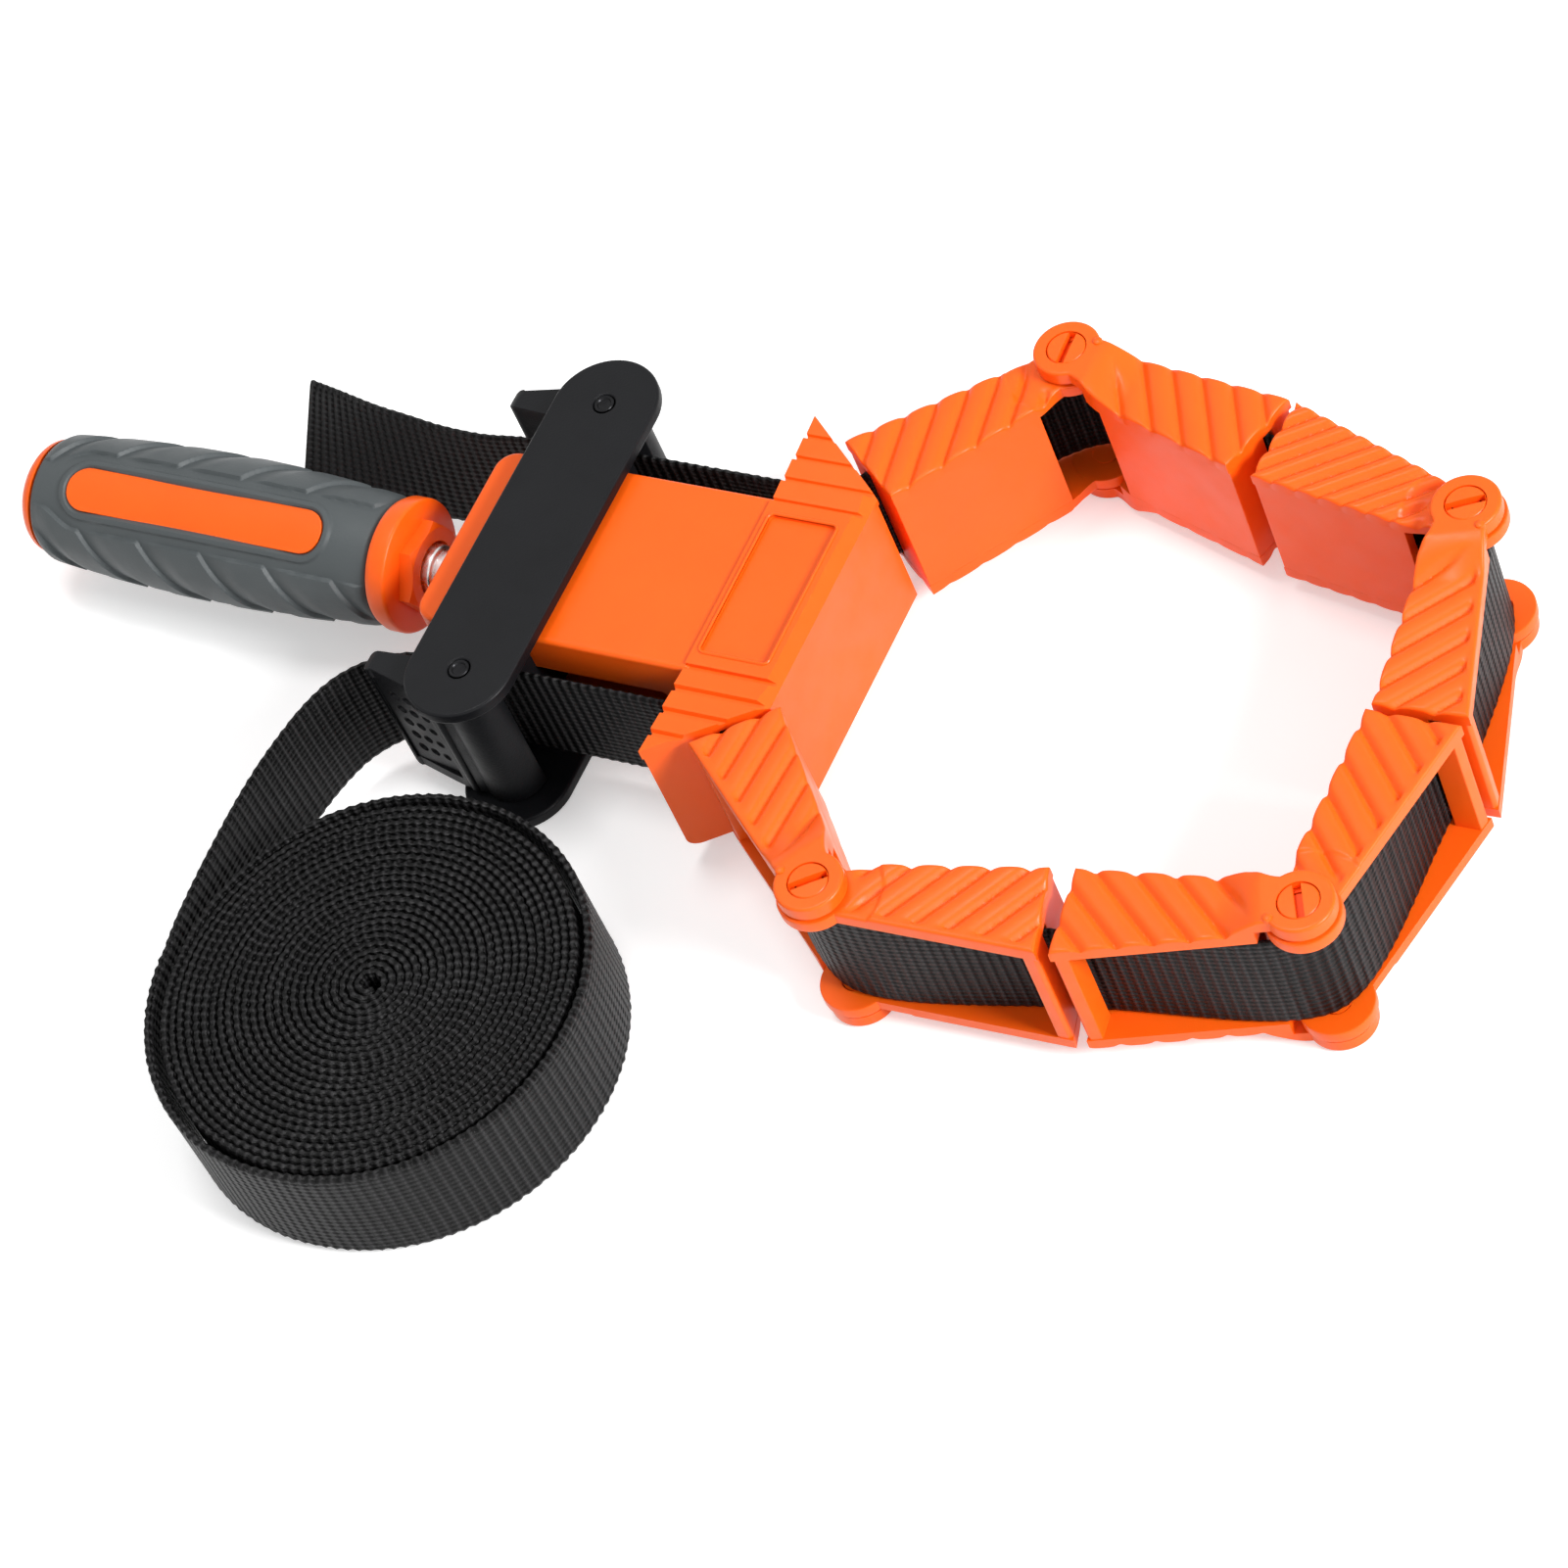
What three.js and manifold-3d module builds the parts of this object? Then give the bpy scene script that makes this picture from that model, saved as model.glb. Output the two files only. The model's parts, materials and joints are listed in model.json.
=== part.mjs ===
// Band clamp: a fixed jaw with a hollow stem, a screw-driven carrier with two cam levers,
// four folding corner jaws and one long flat webbing. Millimetres, +Z up, +X from the handle to the jaws.
// While it is drawn, x = 0 is the back of the fixed jaw and z = 0 the table. The finished group is moved
// so that its origin is the middle of the fixed jaw's clamping face.
import * as THREE from 'three';
import { mergeVertices } from 'three/addons/utils/BufferGeometryUtils.js';
import Module from 'manifold-3d';

const wasm = await Module();
wasm.setup();

// Clearances
const fit = 0.3;
const runningFit = 0.5;
const overrun = 1;

// Webbing
const webbingWidth = 25;
const webbingThickness = 1.1;
const webbingSlot = 2.4;
const webbingSlotHeight = 26;

// Fixed jaw
const jawHeight = 32;
const jawDepth = 20.6;
const jawBackHalf = 41;
const jawFaceHalf = 25.2;
const jawFrontChamfer = 2.6;
const jawFrontDrop = 1.4;
const jawRibStart = 19.8;
const jawRibHeight = 1;
const jawRibCount = 4;
const jawRibCrestShare = 0.75;
const labelRim = 1.4;
const labelFrontRim = 4.2;
const labelHalf = 16.8;
const labelDepth = 0.8;
const flankSlotShare = 0.636;
const runHalf = 27;
const jawBendShare = 0.99;

// Hollow stem and its cover
const stemLength = 61.5;
const stemHalf = 21;
const stemHeight = 30.8;
const stemWall = 2.6;
const stemRoof = 2.8;
const stemEndWall = 4;
const stemCornerRadius = 4.5;
const stemFrontWall = 1;
const coverThickness = 2.4;
const bossSize = 5.2;
const bossHeight = 5.6;
const screwRadius = 1.3;
const screwHeadRadius = 2.4;
const screwHeadHeight = 1.2;
const screwSeatHeight = 1.4;
const screwLength = 6;

// Spindle, its bearings and the nut
const spindleRadius = 4;
const spindleNeckRadius = 5;
const spindleNeckLength = 6.2;
const journalRadius = 3;
const journalLength = 5;
const tangLength = 31;
const tangHalf = 3.2;
const washerRadius = 8;
const washerThickness = 1.1;
const clipRadius = 6.2;
const clipThickness = 0.9;
const clipGroove = 0.8;
const clipMouth = 5;
const bushWall = 1.9;
const bushFlange = 1.4;
const bushFlangeThickness = 1;
const nutAcrossFlats = 13;
const nutThickness = 6.5;

// Carrier
const carrierInset = 18.8;
const carrierBack = 7;
const carrierForward = 29;
const pinHalf = 33;
const carrierPlateWidth = 22.6;
const carrierPlateThickness = 2.8;
const carrierPlateBevel = 0.6;
const blockDepth = 12;
const blockHalf = 11;
const blockHeight = 19;
const earHeight = 11.2;
const anvilWidth = 14;
const pinRadius = 2;
const pinWall = 0.55;
const pinSlit = 0.9;
const pinProud = 0.1;

// Cam levers. The share tables hold places on the outline past the cam: shares of the reach along
// the lever, and of the hub's radius across it.
const leverReach = 23.3;
const leverTip = 1.7;
const leverHub = 7.8;
const camGrowth = 0.8;
const camDegrees = [240, 270, 310];
const hubDegrees = [70, 185];
const leverInnerShares = [[0.3, -0.6], [0.42, -0.38]];
const leverOuterShares = [[0.88, 0.27], [0.5, 0.6], [0.13, 0.92]];
const springPocket = 4.2;
const springCoilRadius = 2.9;
const springWireRadius = 0.45;
const springTurns = 4;
const springPitch = 1.4;

// Handle
const gripLength = 81;
const gripEndRadius = 12.4;
const gripMiddleRadius = 14.7;
const gripBore = 10.8;
const buttDome = 5.2;
const flangeRadius = 13.7;
const flangeThickness = 5.4;
const flangeRounding = 1.8;
const noseAcrossFlats = 17;
const noseLength = 7.4;
const windowLength = 61;
const windowWidth = 9;
const windowRoll = 22;

// Corner jaws
const armReach = 44.3;
const armMitreDegrees = 2.3;
const armInner = 6.4;
const armOuter = 12.2;
const armHingeOuter = 4.1;
const armCorner = 0.8;
const armPlate = 3;
const armWall = 2.5;
const armEndWall = 5.5;
const armWallStart = 11;
const armNeck = 10;
const armNeckInner = 5;
const armSlotPlace = 5;
const armRim = 2.1;
const outerLugRadius = 6.7;
const innerLugRadius = 7.2;
const lugThickness = 2.8;
const hingePinHead = 3.9;
const hingePinHeadHeight = 1.6;
const hingePinRadius = 2.6;
const hingePinSlot = 1.7;
const hingePinSlotDepth = 1.2;
const hingePinSlotDegrees = 60;
const hingePinProud = 0.2;
const grooveCount = 6;
const groovePitch = 6.2;
const grooveStart = 2.4;
const grooveWidth = 3;
const grooveDepth = 0.9;
const grooveDegrees = 45;
const dotRadius = 1.2;
const dotHeight = 0.5;

// The ring: the upper half and the mirrored lower half, with the first arm's turn from the flank's normal,
// the bend of the side and the last arm's heading in degrees, and the gaps between arms at the webbing.
const ringHalves = [
  { side: 1, names: ['a', 'b'], startTurn: -0.4, sideBend: 7.4, last: -84.6, jawGap: 1.9, sideGap: 3.2 },
  { side: -1, names: ['d', 'c'], startTurn: -4, sideBend: 2.6, last: -88.5, jawGap: 1.6, sideGap: 3.4 },
];
const headingSearchDegrees = [-80, 40];
const headingSearchSteps = 60;
const meetingGap = 1.7;
const foldGap = 0.6;
const hingeWebbingOffset = 2;
const hingeWebbingGap = 1;
const routeHandleShares = [0.2, 0.55];

// Free end, long end and roll of the webbing. The free end's places are [x, y], and the long end's are
// [x, y, height of its lower edge], with x from the cams: both are a loose band's route, chosen by hand.
const freeEndPlaces = [
  [-71.3, 31.2], [-64.3, 29.9], [-56.3, 28.7], [-48.3, 27.9], [-39.3, 27.2], [-29.3, 26.9],
  [-19.3, 27], [-9.3, 27],
];
const longEndPlaces = [
  [-9.3, -27, 6.5], [-15.8, -27.4, 6.5], [-21.8, -29.4, 6.3], [-27.1, -32.9, 6], [-31.3, -37.6, 5.4],
  [-34.3, -43.8, 4.6], [-36.6, -51.5, 3.6], [-38.2, -59.5, 2.6], [-39.2, -68, 1.5], [-39.6, -77, 0.6],
  [-39.5, -85, 0.1], [-38.8, -93, 0],
];
const rollCentreAhead = 7.1;
const rollCentreY = 96;
const rollRadius = 41.1;
const rollPitch = 1.62;
const rollLoops = 23;
const rollEntryRadius = 44.9;
const rollSlackRadius = 42.9;
const rollStartDegrees = 185;
const rollSlackLoops = 4;

// Sides and steps of round forms
const fineSides = 24;
const roundSides = 16;
const lugSides = 20;
const smallSides = 12;
const dotSides = 6;
const hexagonSides = 6;
const bendSteps = 6;
const cornerSteps = 5;
const camSteps = 8;
const hubSteps = 7;
const tipSteps = 4;
const sweepSteps = 8;
const domeSteps = 4;
const routeSteps = 8;
const loopSteps = 24;
const curlSteps = 8;
const wireSides = 5;

// Places that follow from the sizes above
const carrierPlace = stemLength - carrierInset;
const hingePinTop = jawHeight / 2 + fit + lugThickness + hingePinProud;
const midHeight = hingePinTop;
const jawBottom = midHeight - jawHeight / 2;
const jawTop = midHeight + jawHeight / 2;
const stemBottom = midHeight - stemHeight / 2;
const stemTop = midHeight + stemHeight / 2;
const webbingBottom = midHeight - webbingWidth / 2;
const carrierTop = 2 * midHeight;
const stemCavityBack = -stemLength + stemEndWall;
const anvilFace = runHalf - webbingThickness / 2 - fit;
const camClearance = pinHalf - runHalf - webbingThickness / 2 - fit;

const orange = { color: 0xff6a1f, roughness: 0.45, metalness: 0 };
const blackPlastic = { color: 0x35363a, roughness: 0.5, metalness: 0 };
const rubber = { color: 0x565b5e, roughness: 0.75, metalness: 0 };
const steel = { color: 0xc9ccd0, roughness: 0.25, metalness: 1 };
const brass = { color: 0xc8a24a, roughness: 0.35, metalness: 1 };
const whitePlastic = { color: 0xe6e2d8, roughness: 0.5, metalness: 0 };
const webbingCloth = { color: 0x1d1c1a, roughness: 0.9, metalness: 0 };

// Closed geometry without doubled vertices or flat triangles, with its faces pointing out
function tidy(source) {
  const bare = source.clone();
  for (const name of Object.keys(bare.attributes)) {
    if (name !== 'position') bare.deleteAttribute(name);
  }
  const merged = mergeVertices(bare);
  const index = merged.index.array;
  const kept = [];
  for (let i = 0; i < index.length; i += 3) {
    const [a, b, c] = [index[i], index[i + 1], index[i + 2]];
    if (a !== b && b !== c && c !== a) kept.push(a, b, c);
  }
  merged.setIndex(kept);
  if (signedVolume(merged) < 0) {
    for (let i = 0; i < kept.length; i += 3) [kept[i], kept[i + 1]] = [kept[i + 1], kept[i]];
    merged.setIndex(kept);
  }
  return merged;
}

function signedVolume(geometry) {
  const place = geometry.attributes.position;
  const [a, b, c] = [new THREE.Vector3(), new THREE.Vector3(), new THREE.Vector3()];
  let total = 0;
  for (let i = 0; i < geometry.index.count; i += 3) {
    a.fromBufferAttribute(place, geometry.index.array[i]);
    b.fromBufferAttribute(place, geometry.index.array[i + 1]);
    c.fromBufferAttribute(place, geometry.index.array[i + 2]);
    total += a.dot(b.cross(c)) / 6;
  }
  return total;
}

function toSolid(geometry) {
  const clean = tidy(geometry);
  return new wasm.Manifold(new wasm.Mesh({
    numProp: 3,
    vertProperties: new Float32Array(clean.attributes.position.array),
    triVerts: new Uint32Array(clean.index.array),
  }));
}

function toGeometry(solid) {
  const mesh = solid.getMesh();
  const geometry = new THREE.BufferGeometry();
  geometry.setAttribute('position', new THREE.BufferAttribute(new Float32Array(mesh.vertProperties), 3));
  geometry.setIndex(Array.from(mesh.triVerts));
  return geometry;
}

function joined(first, ...others) {
  return toGeometry(others.reduce((sum, next) => sum.add(toSolid(next)), toSolid(first)));
}

function cut(body, ...tools) {
  return toGeometry(tools.reduce((left, tool) => left.subtract(toSolid(tool)), toSolid(body)));
}

function common(first, second) {
  return toGeometry(toSolid(first).intersect(toSolid(second)));
}

function shapeOf(points) {
  return new THREE.Shape(points.map(([x, y]) => new THREE.Vector2(x, y)));
}

function prism(points, bottom, top) {
  const geometry = new THREE.ExtrudeGeometry(shapeOf(points), { depth: top - bottom, bevelEnabled: false });
  return geometry.translate(0, 0, bottom);
}

function box(low, high) {
  const size = high.map((value, i) => value - low[i]);
  const geometry = new THREE.BoxGeometry(...size);
  return geometry.translate(...low.map((value, i) => value + size[i] / 2));
}

// A turned piece: the profile's points are [radius, station] and the axis is +Z
function turned(profile, sides) {
  const points = profile.map(([radius, station]) => new THREE.Vector2(radius, station));
  return new THREE.LatheGeometry(points, sides).rotateX(Math.PI / 2);
}

function rod(radius, bottom, top, sides = roundSides) {
  return turned([[0, bottom], [radius, bottom], [radius, top], [0, top]], sides);
}

function tubeAlongZ(inner, outer, bottom, top, sides = roundSides) {
  return turned([[inner, bottom], [outer, bottom], [outer, top], [inner, top], [inner, bottom]], sides);
}

// Lays a piece drawn along +Z along +X, at the height of the spindle
function alongX(geometry) {
  return geometry.rotateY(Math.PI / 2).translate(0, 0, midHeight);
}

function arc(centre, radius, fromDegrees, toDegrees, steps) {
  const points = [];
  for (let i = 0; i <= steps; i++) {
    const turn = THREE.MathUtils.degToRad(fromDegrees + (toDegrees - fromDegrees) * i / steps);
    points.push([centre[0] + radius * Math.cos(turn), centre[1] + radius * Math.sin(turn)]);
  }
  return points;
}

function direction(degrees) {
  const turn = THREE.MathUtils.degToRad(degrees);
  return new THREE.Vector2(Math.cos(turn), Math.sin(turn));
}

function mirrored(points, side) {
  return points.map(([x, y, ...rest]) => [x, side * y, ...rest]);
}

// A flat band that stands on edge and follows points [x, y, bottom]
function ribbon(points, thickness = webbingThickness, width = webbingWidth) {
  const places = [];
  const index = [];
  points.forEach(([x, y, bottom], i) => {
    const before = points[Math.max(i - 1, 0)];
    const after = points[Math.min(i + 1, points.length - 1)];
    const along = new THREE.Vector2(after[0] - before[0], after[1] - before[1]).normalize();
    const [nx, ny] = [-along.y * thickness / 2, along.x * thickness / 2];
    places.push(x + nx, y + ny, bottom, x - nx, y - ny, bottom);
    places.push(x - nx, y - ny, bottom + width, x + nx, y + ny, bottom + width);
  });
  const cornerCount = 4;
  for (let i = 0; i + 1 < points.length; i++) {
    for (let k = 0; k < cornerCount; k++) {
      const a = i * cornerCount + k;
      const b = i * cornerCount + (k + 1) % cornerCount;
      index.push(a, b, b + cornerCount, a, b + cornerCount, a + cornerCount);
    }
  }
  const end = (points.length - 1) * cornerCount;
  index.push(0, 2, 1, 0, 3, 2, end, end + 1, end + 2, end, end + 2, end + 3);
  const geometry = new THREE.BufferGeometry();
  geometry.setAttribute('position', new THREE.BufferAttribute(new Float32Array(places), 3));
  geometry.setIndex(index);
  return tidy(geometry);
}

function atHeight(points, bottom) {
  return points.map(([x, y]) => [x, y, bottom]);
}

const clamp = new THREE.Group();

function add(name, geometry, look, parent = clamp) {
  const mesh = new THREE.Mesh(tidy(geometry), new THREE.MeshStandardMaterial(look));
  mesh.name = name;
  parent.add(mesh);
  return mesh;
}

// Fixed jaw: where the webbing runs inside it, from its back to the middle of a slanted flank
const flankLength = Math.hypot(jawDepth, jawBackHalf - jawFaceHalf);
const flankAlong = new THREE.Vector2(jawDepth, jawFaceHalf - jawBackHalf).divideScalar(flankLength);
const flankNormal = new THREE.Vector2(-flankAlong.y, flankAlong.x);
const flankDegrees = THREE.MathUtils.radToDeg(Math.atan2(flankNormal.y, flankNormal.x));
const flankExit = new THREE.Vector2(0, jawBackHalf).addScaledVector(flankAlong, flankLength * flankSlotShare);

function jawRoute(startX, pastExit) {
  const back = (flankExit.y - runHalf) / flankNormal.y;
  const cornerX = flankExit.x - back * flankNormal.x;
  const tangent = back * jawBendShare;
  const radius = tangent / Math.tan(THREE.MathUtils.degToRad(flankDegrees / 2));
  const centre = [cornerX - tangent, runHalf + radius];
  const end = flankExit.clone().addScaledVector(flankNormal, pastExit);
  const bend = arc(centre, radius, -90, flankDegrees - 90, bendSteps);
  return [[startX, runHalf], ...bend, [end.x, end.y]];
}

function jawTopProfile() {
  const low = jawTop - jawRibHeight;
  const pitch = (jawBackHalf - jawRibStart) / jawRibCount;
  const half = [[jawRibStart, jawTop]];
  for (let i = 0; i < jawRibCount; i++) {
    const y = jawRibStart + pitch * i;
    half.push([y, low], [y + pitch * jawRibCrestShare, jawTop], [y + pitch, jawTop]);
  }
  const upper = [...half, [jawBackHalf + overrun, jawTop], [jawBackHalf + overrun, jawBottom]];
  const lower = upper.map(([y, z]) => [-y, z]).reverse();
  return [...upper, ...lower];
}

function jawBlock() {
  const plan = [[0, -jawBackHalf], [jawDepth, -jawFaceHalf], [jawDepth, jawFaceHalf], [0, jawBackHalf]];
  const block = prism(plan, jawBottom, jawTop + overrun);
  const ridged = prism(jawTopProfile(), -overrun, jawDepth + overrun);
  ridged.rotateX(Math.PI / 2).rotateZ(Math.PI / 2);
  const chamferPlan = [
    [jawDepth - jawFrontChamfer, jawTop],
    [jawDepth, jawTop - jawFrontDrop],
    [jawDepth + overrun, jawTop - jawFrontDrop],
    [jawDepth + overrun, jawTop + overrun],
    [jawDepth - jawFrontChamfer, jawTop + overrun],
  ];
  const topChamfer = prism(chamferPlan, -jawBackHalf, jawBackHalf).rotateX(Math.PI / 2);
  const bottomChamfer = topChamfer.clone().rotateX(Math.PI).translate(0, 0, 2 * midHeight);
  const label = box(
    [labelRim, -labelHalf, jawTop - labelDepth],
    [jawDepth - labelFrontRim, labelHalf, jawTop + overrun],
  );
  const slots = [1, -1].map((side) => ribbon(
    atHeight(mirrored(jawRoute(-overrun, 2 * overrun), side), midHeight - webbingSlotHeight / 2),
    webbingSlot,
    webbingSlotHeight,
  ));
  return cut(common(block, ridged), topChamfer, bottomChamfer, label, ...slots);
}

const bossPlaces = [-stemLength + stemEndWall + bossSize / 2, -stemFrontWall - bossSize / 2]
  .flatMap((x) => [1, -1].map((side) => [x, side * (stemHalf - stemWall - bossSize / 2)]));
const bossBottom = stemBottom + coverThickness + fit;

function stemShell() {
  const corner = stemCornerRadius;
  const outline = [
    [fit, -stemHalf],
    [fit, stemHalf],
    ...arc([-stemLength + corner, stemHalf - corner], corner, 90, 180, cornerSteps),
    ...arc([-stemLength + corner, corner - stemHalf], corner, 180, 270, cornerSteps),
  ];
  const inner = stemHalf - stemWall;
  const cavity = box(
    [stemCavityBack, -inner, stemBottom - overrun],
    [-stemFrontWall, inner, stemTop - stemRoof],
  );
  const slotReach = blockDepth / 2 + runningFit;
  const sideSlot = box(
    [-carrierPlace - carrierBack - slotReach, -stemHalf - overrun, midHeight - earHeight / 2 - fit],
    [-carrierPlace + carrierForward + slotReach, stemHalf + overrun, midHeight + earHeight / 2 + fit],
  );
  const boreRadius = spindleRadius + fit;
  const endBore = alongX(rod(boreRadius, -stemLength - overrun, stemCavityBack + overrun));
  const shell = cut(prism(outline, stemBottom, stemTop), cavity, sideSlot, endBore);
  return joined(shell, ...bossPlaces.map(([x, y]) => screwBoss(x, y, inner)));
}

// A boss reaches a little into the stem's wall, which carries it
function screwBoss(x, y, wall) {
  const [near, far] = [y - Math.sign(y) * bossSize / 2, Math.sign(y) * (wall + fit)].sort((a, b) => a - b);
  const top = bossBottom + bossHeight;
  const pilot = rod(screwRadius + fit / 2, bossBottom - overrun, top - overrun, smallSides);
  return cut(
    box([x - bossSize / 2, near, bossBottom], [x + bossSize / 2, far, top]),
    pilot.translate(x, y, 0),
  );
}

function housing() {
  const outer = journalRadius + fit / 2 + bushWall;
  const bushPocket = alongX(rod(outer + fit, -stemFrontWall - overrun, journalLength + fit));
  const flangePocket = alongX(rod(
    outer + bushFlange + fit,
    -stemFrontWall - overrun,
    bushFlangeThickness - stemFrontWall + fit,
  ));
  add('base_housing', cut(joined(jawBlock(), stemShell()), bushPocket, flangePocket), orange);
}

function stemCover() {
  const inner = stemHalf - stemWall - fit;
  const through = rod(
    screwRadius + fit,
    stemBottom - overrun,
    stemBottom + coverThickness + overrun,
    smallSides,
  );
  const seat = rod(screwHeadRadius + fit, stemBottom - overrun, stemBottom + screwSeatHeight, smallSides);
  const holes = bossPlaces.flatMap(([x, y]) => [
    through.clone().translate(x, y, 0),
    seat.clone().translate(x, y, 0),
  ]);
  const plate = box(
    [stemCavityBack + fit, -inner, stemBottom],
    [-stemFrontWall - fit, inner, stemBottom + coverThickness],
  );
  add('stem_cover', cut(plate, ...holes), orange);
  const screw = turned([
    [0, stemBottom + fit],
    [screwHeadRadius, stemBottom + fit],
    [screwHeadRadius, stemBottom + screwHeadHeight],
    [screwRadius, stemBottom + screwHeadHeight],
    [screwRadius, stemBottom + screwLength],
    [0, stemBottom + screwLength],
  ], smallSides);
  bossPlaces.forEach(([x, y], i) => add(`cover_screw_${i + 1}`, screw.clone().translate(x, y, 0), steel));
}

// Handle and spindle, all about the spindle's axis
const neckEnd = -stemLength - fit - washerThickness - fit;
const neckStart = neckEnd - spindleNeckLength;
const noseEnd = neckStart - fit;
const flangeFront = noseEnd - noseLength;
const flangeBack = flangeFront - flangeThickness;
const gripFront = flangeBack - fit;
const gripBack = gripFront - gripLength;
const gripMiddle = (gripFront + gripBack) / 2;

function gripRadiusAt(x) {
  const share = (x - gripMiddle) / (gripLength / 2);
  return gripMiddleRadius - (gripMiddleRadius - gripEndRadius) * share * share;
}

const handleRoll = new THREE.Group();
handleRoll.position.z = midHeight;
handleRoll.rotation.x = THREE.MathUtils.degToRad(windowRoll);
clamp.add(handleRoll);

function stadiumAlong(length, width, sides) {
  const straight = length / 2 - width / 2;
  return [
    ...arc([straight, 0], width / 2, -90, 90, sides / 2),
    ...arc([-straight, 0], width / 2, 90, 270, sides / 2),
  ];
}

function gripProfile() {
  const points = [];
  for (let i = 0; i <= sweepSteps; i++) {
    const x = gripBack + gripLength * i / sweepSteps;
    points.push([gripRadiusAt(x), x]);
  }
  return points;
}

function handle() {
  const layX = (geometry) => geometry.rotateY(Math.PI / 2);
  const outside = gripProfile();
  const sleeve = layX(turned([
    [gripBore, gripBack],
    ...outside,
    [gripBore, gripFront],
    [gripBore, gripBack],
  ], fineSides));
  const windows = [0, Math.PI].map((turn) => prism(
    stadiumAlong(windowLength + 2 * fit, windowWidth + 2 * fit, smallSides),
    gripBore / 2,
    gripMiddleRadius + overrun,
  ).translate(gripMiddle, 0, 0).rotateX(turn));
  add('handle_grip', cut(sleeve, ...windows), rubber, handleRoll);

  const coreRadius = gripBore - fit;
  const dome = arc([0, 0], 1, -90, 0, domeSteps)
    .map(([x, y]) => [x * (gripEndRadius - fit), gripBack - fit + y * buttDome]);
  const rounding = flangeRounding;
  const core = layX(turned([
    ...dome,
    [coreRadius, gripBack - fit],
    [coreRadius, flangeBack],
    [flangeRadius - rounding, flangeBack],
    [flangeRadius, flangeBack + rounding],
    [flangeRadius, flangeFront - rounding],
    [flangeRadius - rounding, flangeFront],
    [0, flangeFront],
  ], fineSides));
  const noseCorner = noseAcrossFlats / Math.sqrt(3);
  const nose = layX(rod(noseCorner, flangeFront - overrun, noseEnd, hexagonSides));
  const inlays = [0, Math.PI].map((turn) => common(
    layX(turned([[0, gripBack], ...outside, [0, gripFront]], fineSides)),
    prism(stadiumAlong(windowLength, windowWidth, smallSides), gripBore / 2, gripMiddleRadius + overrun)
      .translate(gripMiddle, 0, 0)
      .rotateX(turn),
  ));
  const socket = box(
    [neckStart - tangLength - fit, -tangHalf - fit, -tangHalf - fit],
    [noseEnd + overrun, tangHalf + fit, tangHalf + fit],
  );
  add('handle_core', cut(joined(core, nose, ...inlays), socket), orange, handleRoll);
}

function spindle() {
  const thread = spindleRadius;
  const groove = thread - clipGroove;
  const clipStart = stemCavityBack + fit;
  const clipEnd = clipStart + clipThickness + fit;
  const threadEnd = -stemFrontWall - fit;
  const turnedPart = turned([
    [0, neckStart],
    [spindleNeckRadius, neckStart],
    [spindleNeckRadius, neckEnd],
    [thread, neckEnd],
    [thread, clipStart],
    [groove, clipStart],
    [groove, clipEnd],
    [thread, clipEnd],
    [thread, threadEnd],
    [journalRadius, threadEnd],
    [journalRadius, journalLength - fit],
    [0, journalLength - fit],
  ], roundSides).rotateY(Math.PI / 2);
  const tang = box(
    [neckStart - tangLength, -tangHalf, -tangHalf],
    [neckStart + overrun, tangHalf, tangHalf],
  );
  add('spindle', joined(turnedPart, tang), steel, handleRoll);

  const washerFront = -stemLength - fit;
  const washer = tubeAlongZ(thread + fit, washerRadius, washerFront - washerThickness, washerFront);
  add('thrust_washer', alongX(washer), steel);

  const ring = tubeAlongZ(groove + fit, clipRadius, clipStart + fit / 2, clipStart + fit / 2 + clipThickness);
  const mouth = box(
    [clipMouth / -2, -clipRadius - overrun, clipStart - overrun],
    [clipMouth / 2, 0, clipEnd + overrun],
  );
  add('retaining_clip', cut(ring, mouth).rotateY(Math.PI / 2), steel, handleRoll);

  const bushOuter = journalRadius + fit / 2 + bushWall;
  const bush = tubeAlongZ(journalRadius + fit / 2, bushOuter, -stemFrontWall + fit, journalLength);
  const flange = tubeAlongZ(
    journalRadius + fit / 2,
    bushOuter + bushFlange,
    -stemFrontWall + fit,
    -stemFrontWall + bushFlangeThickness,
  );
  add('spindle_bush', alongX(joined(bush, flange)), whitePlastic);
}

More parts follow.
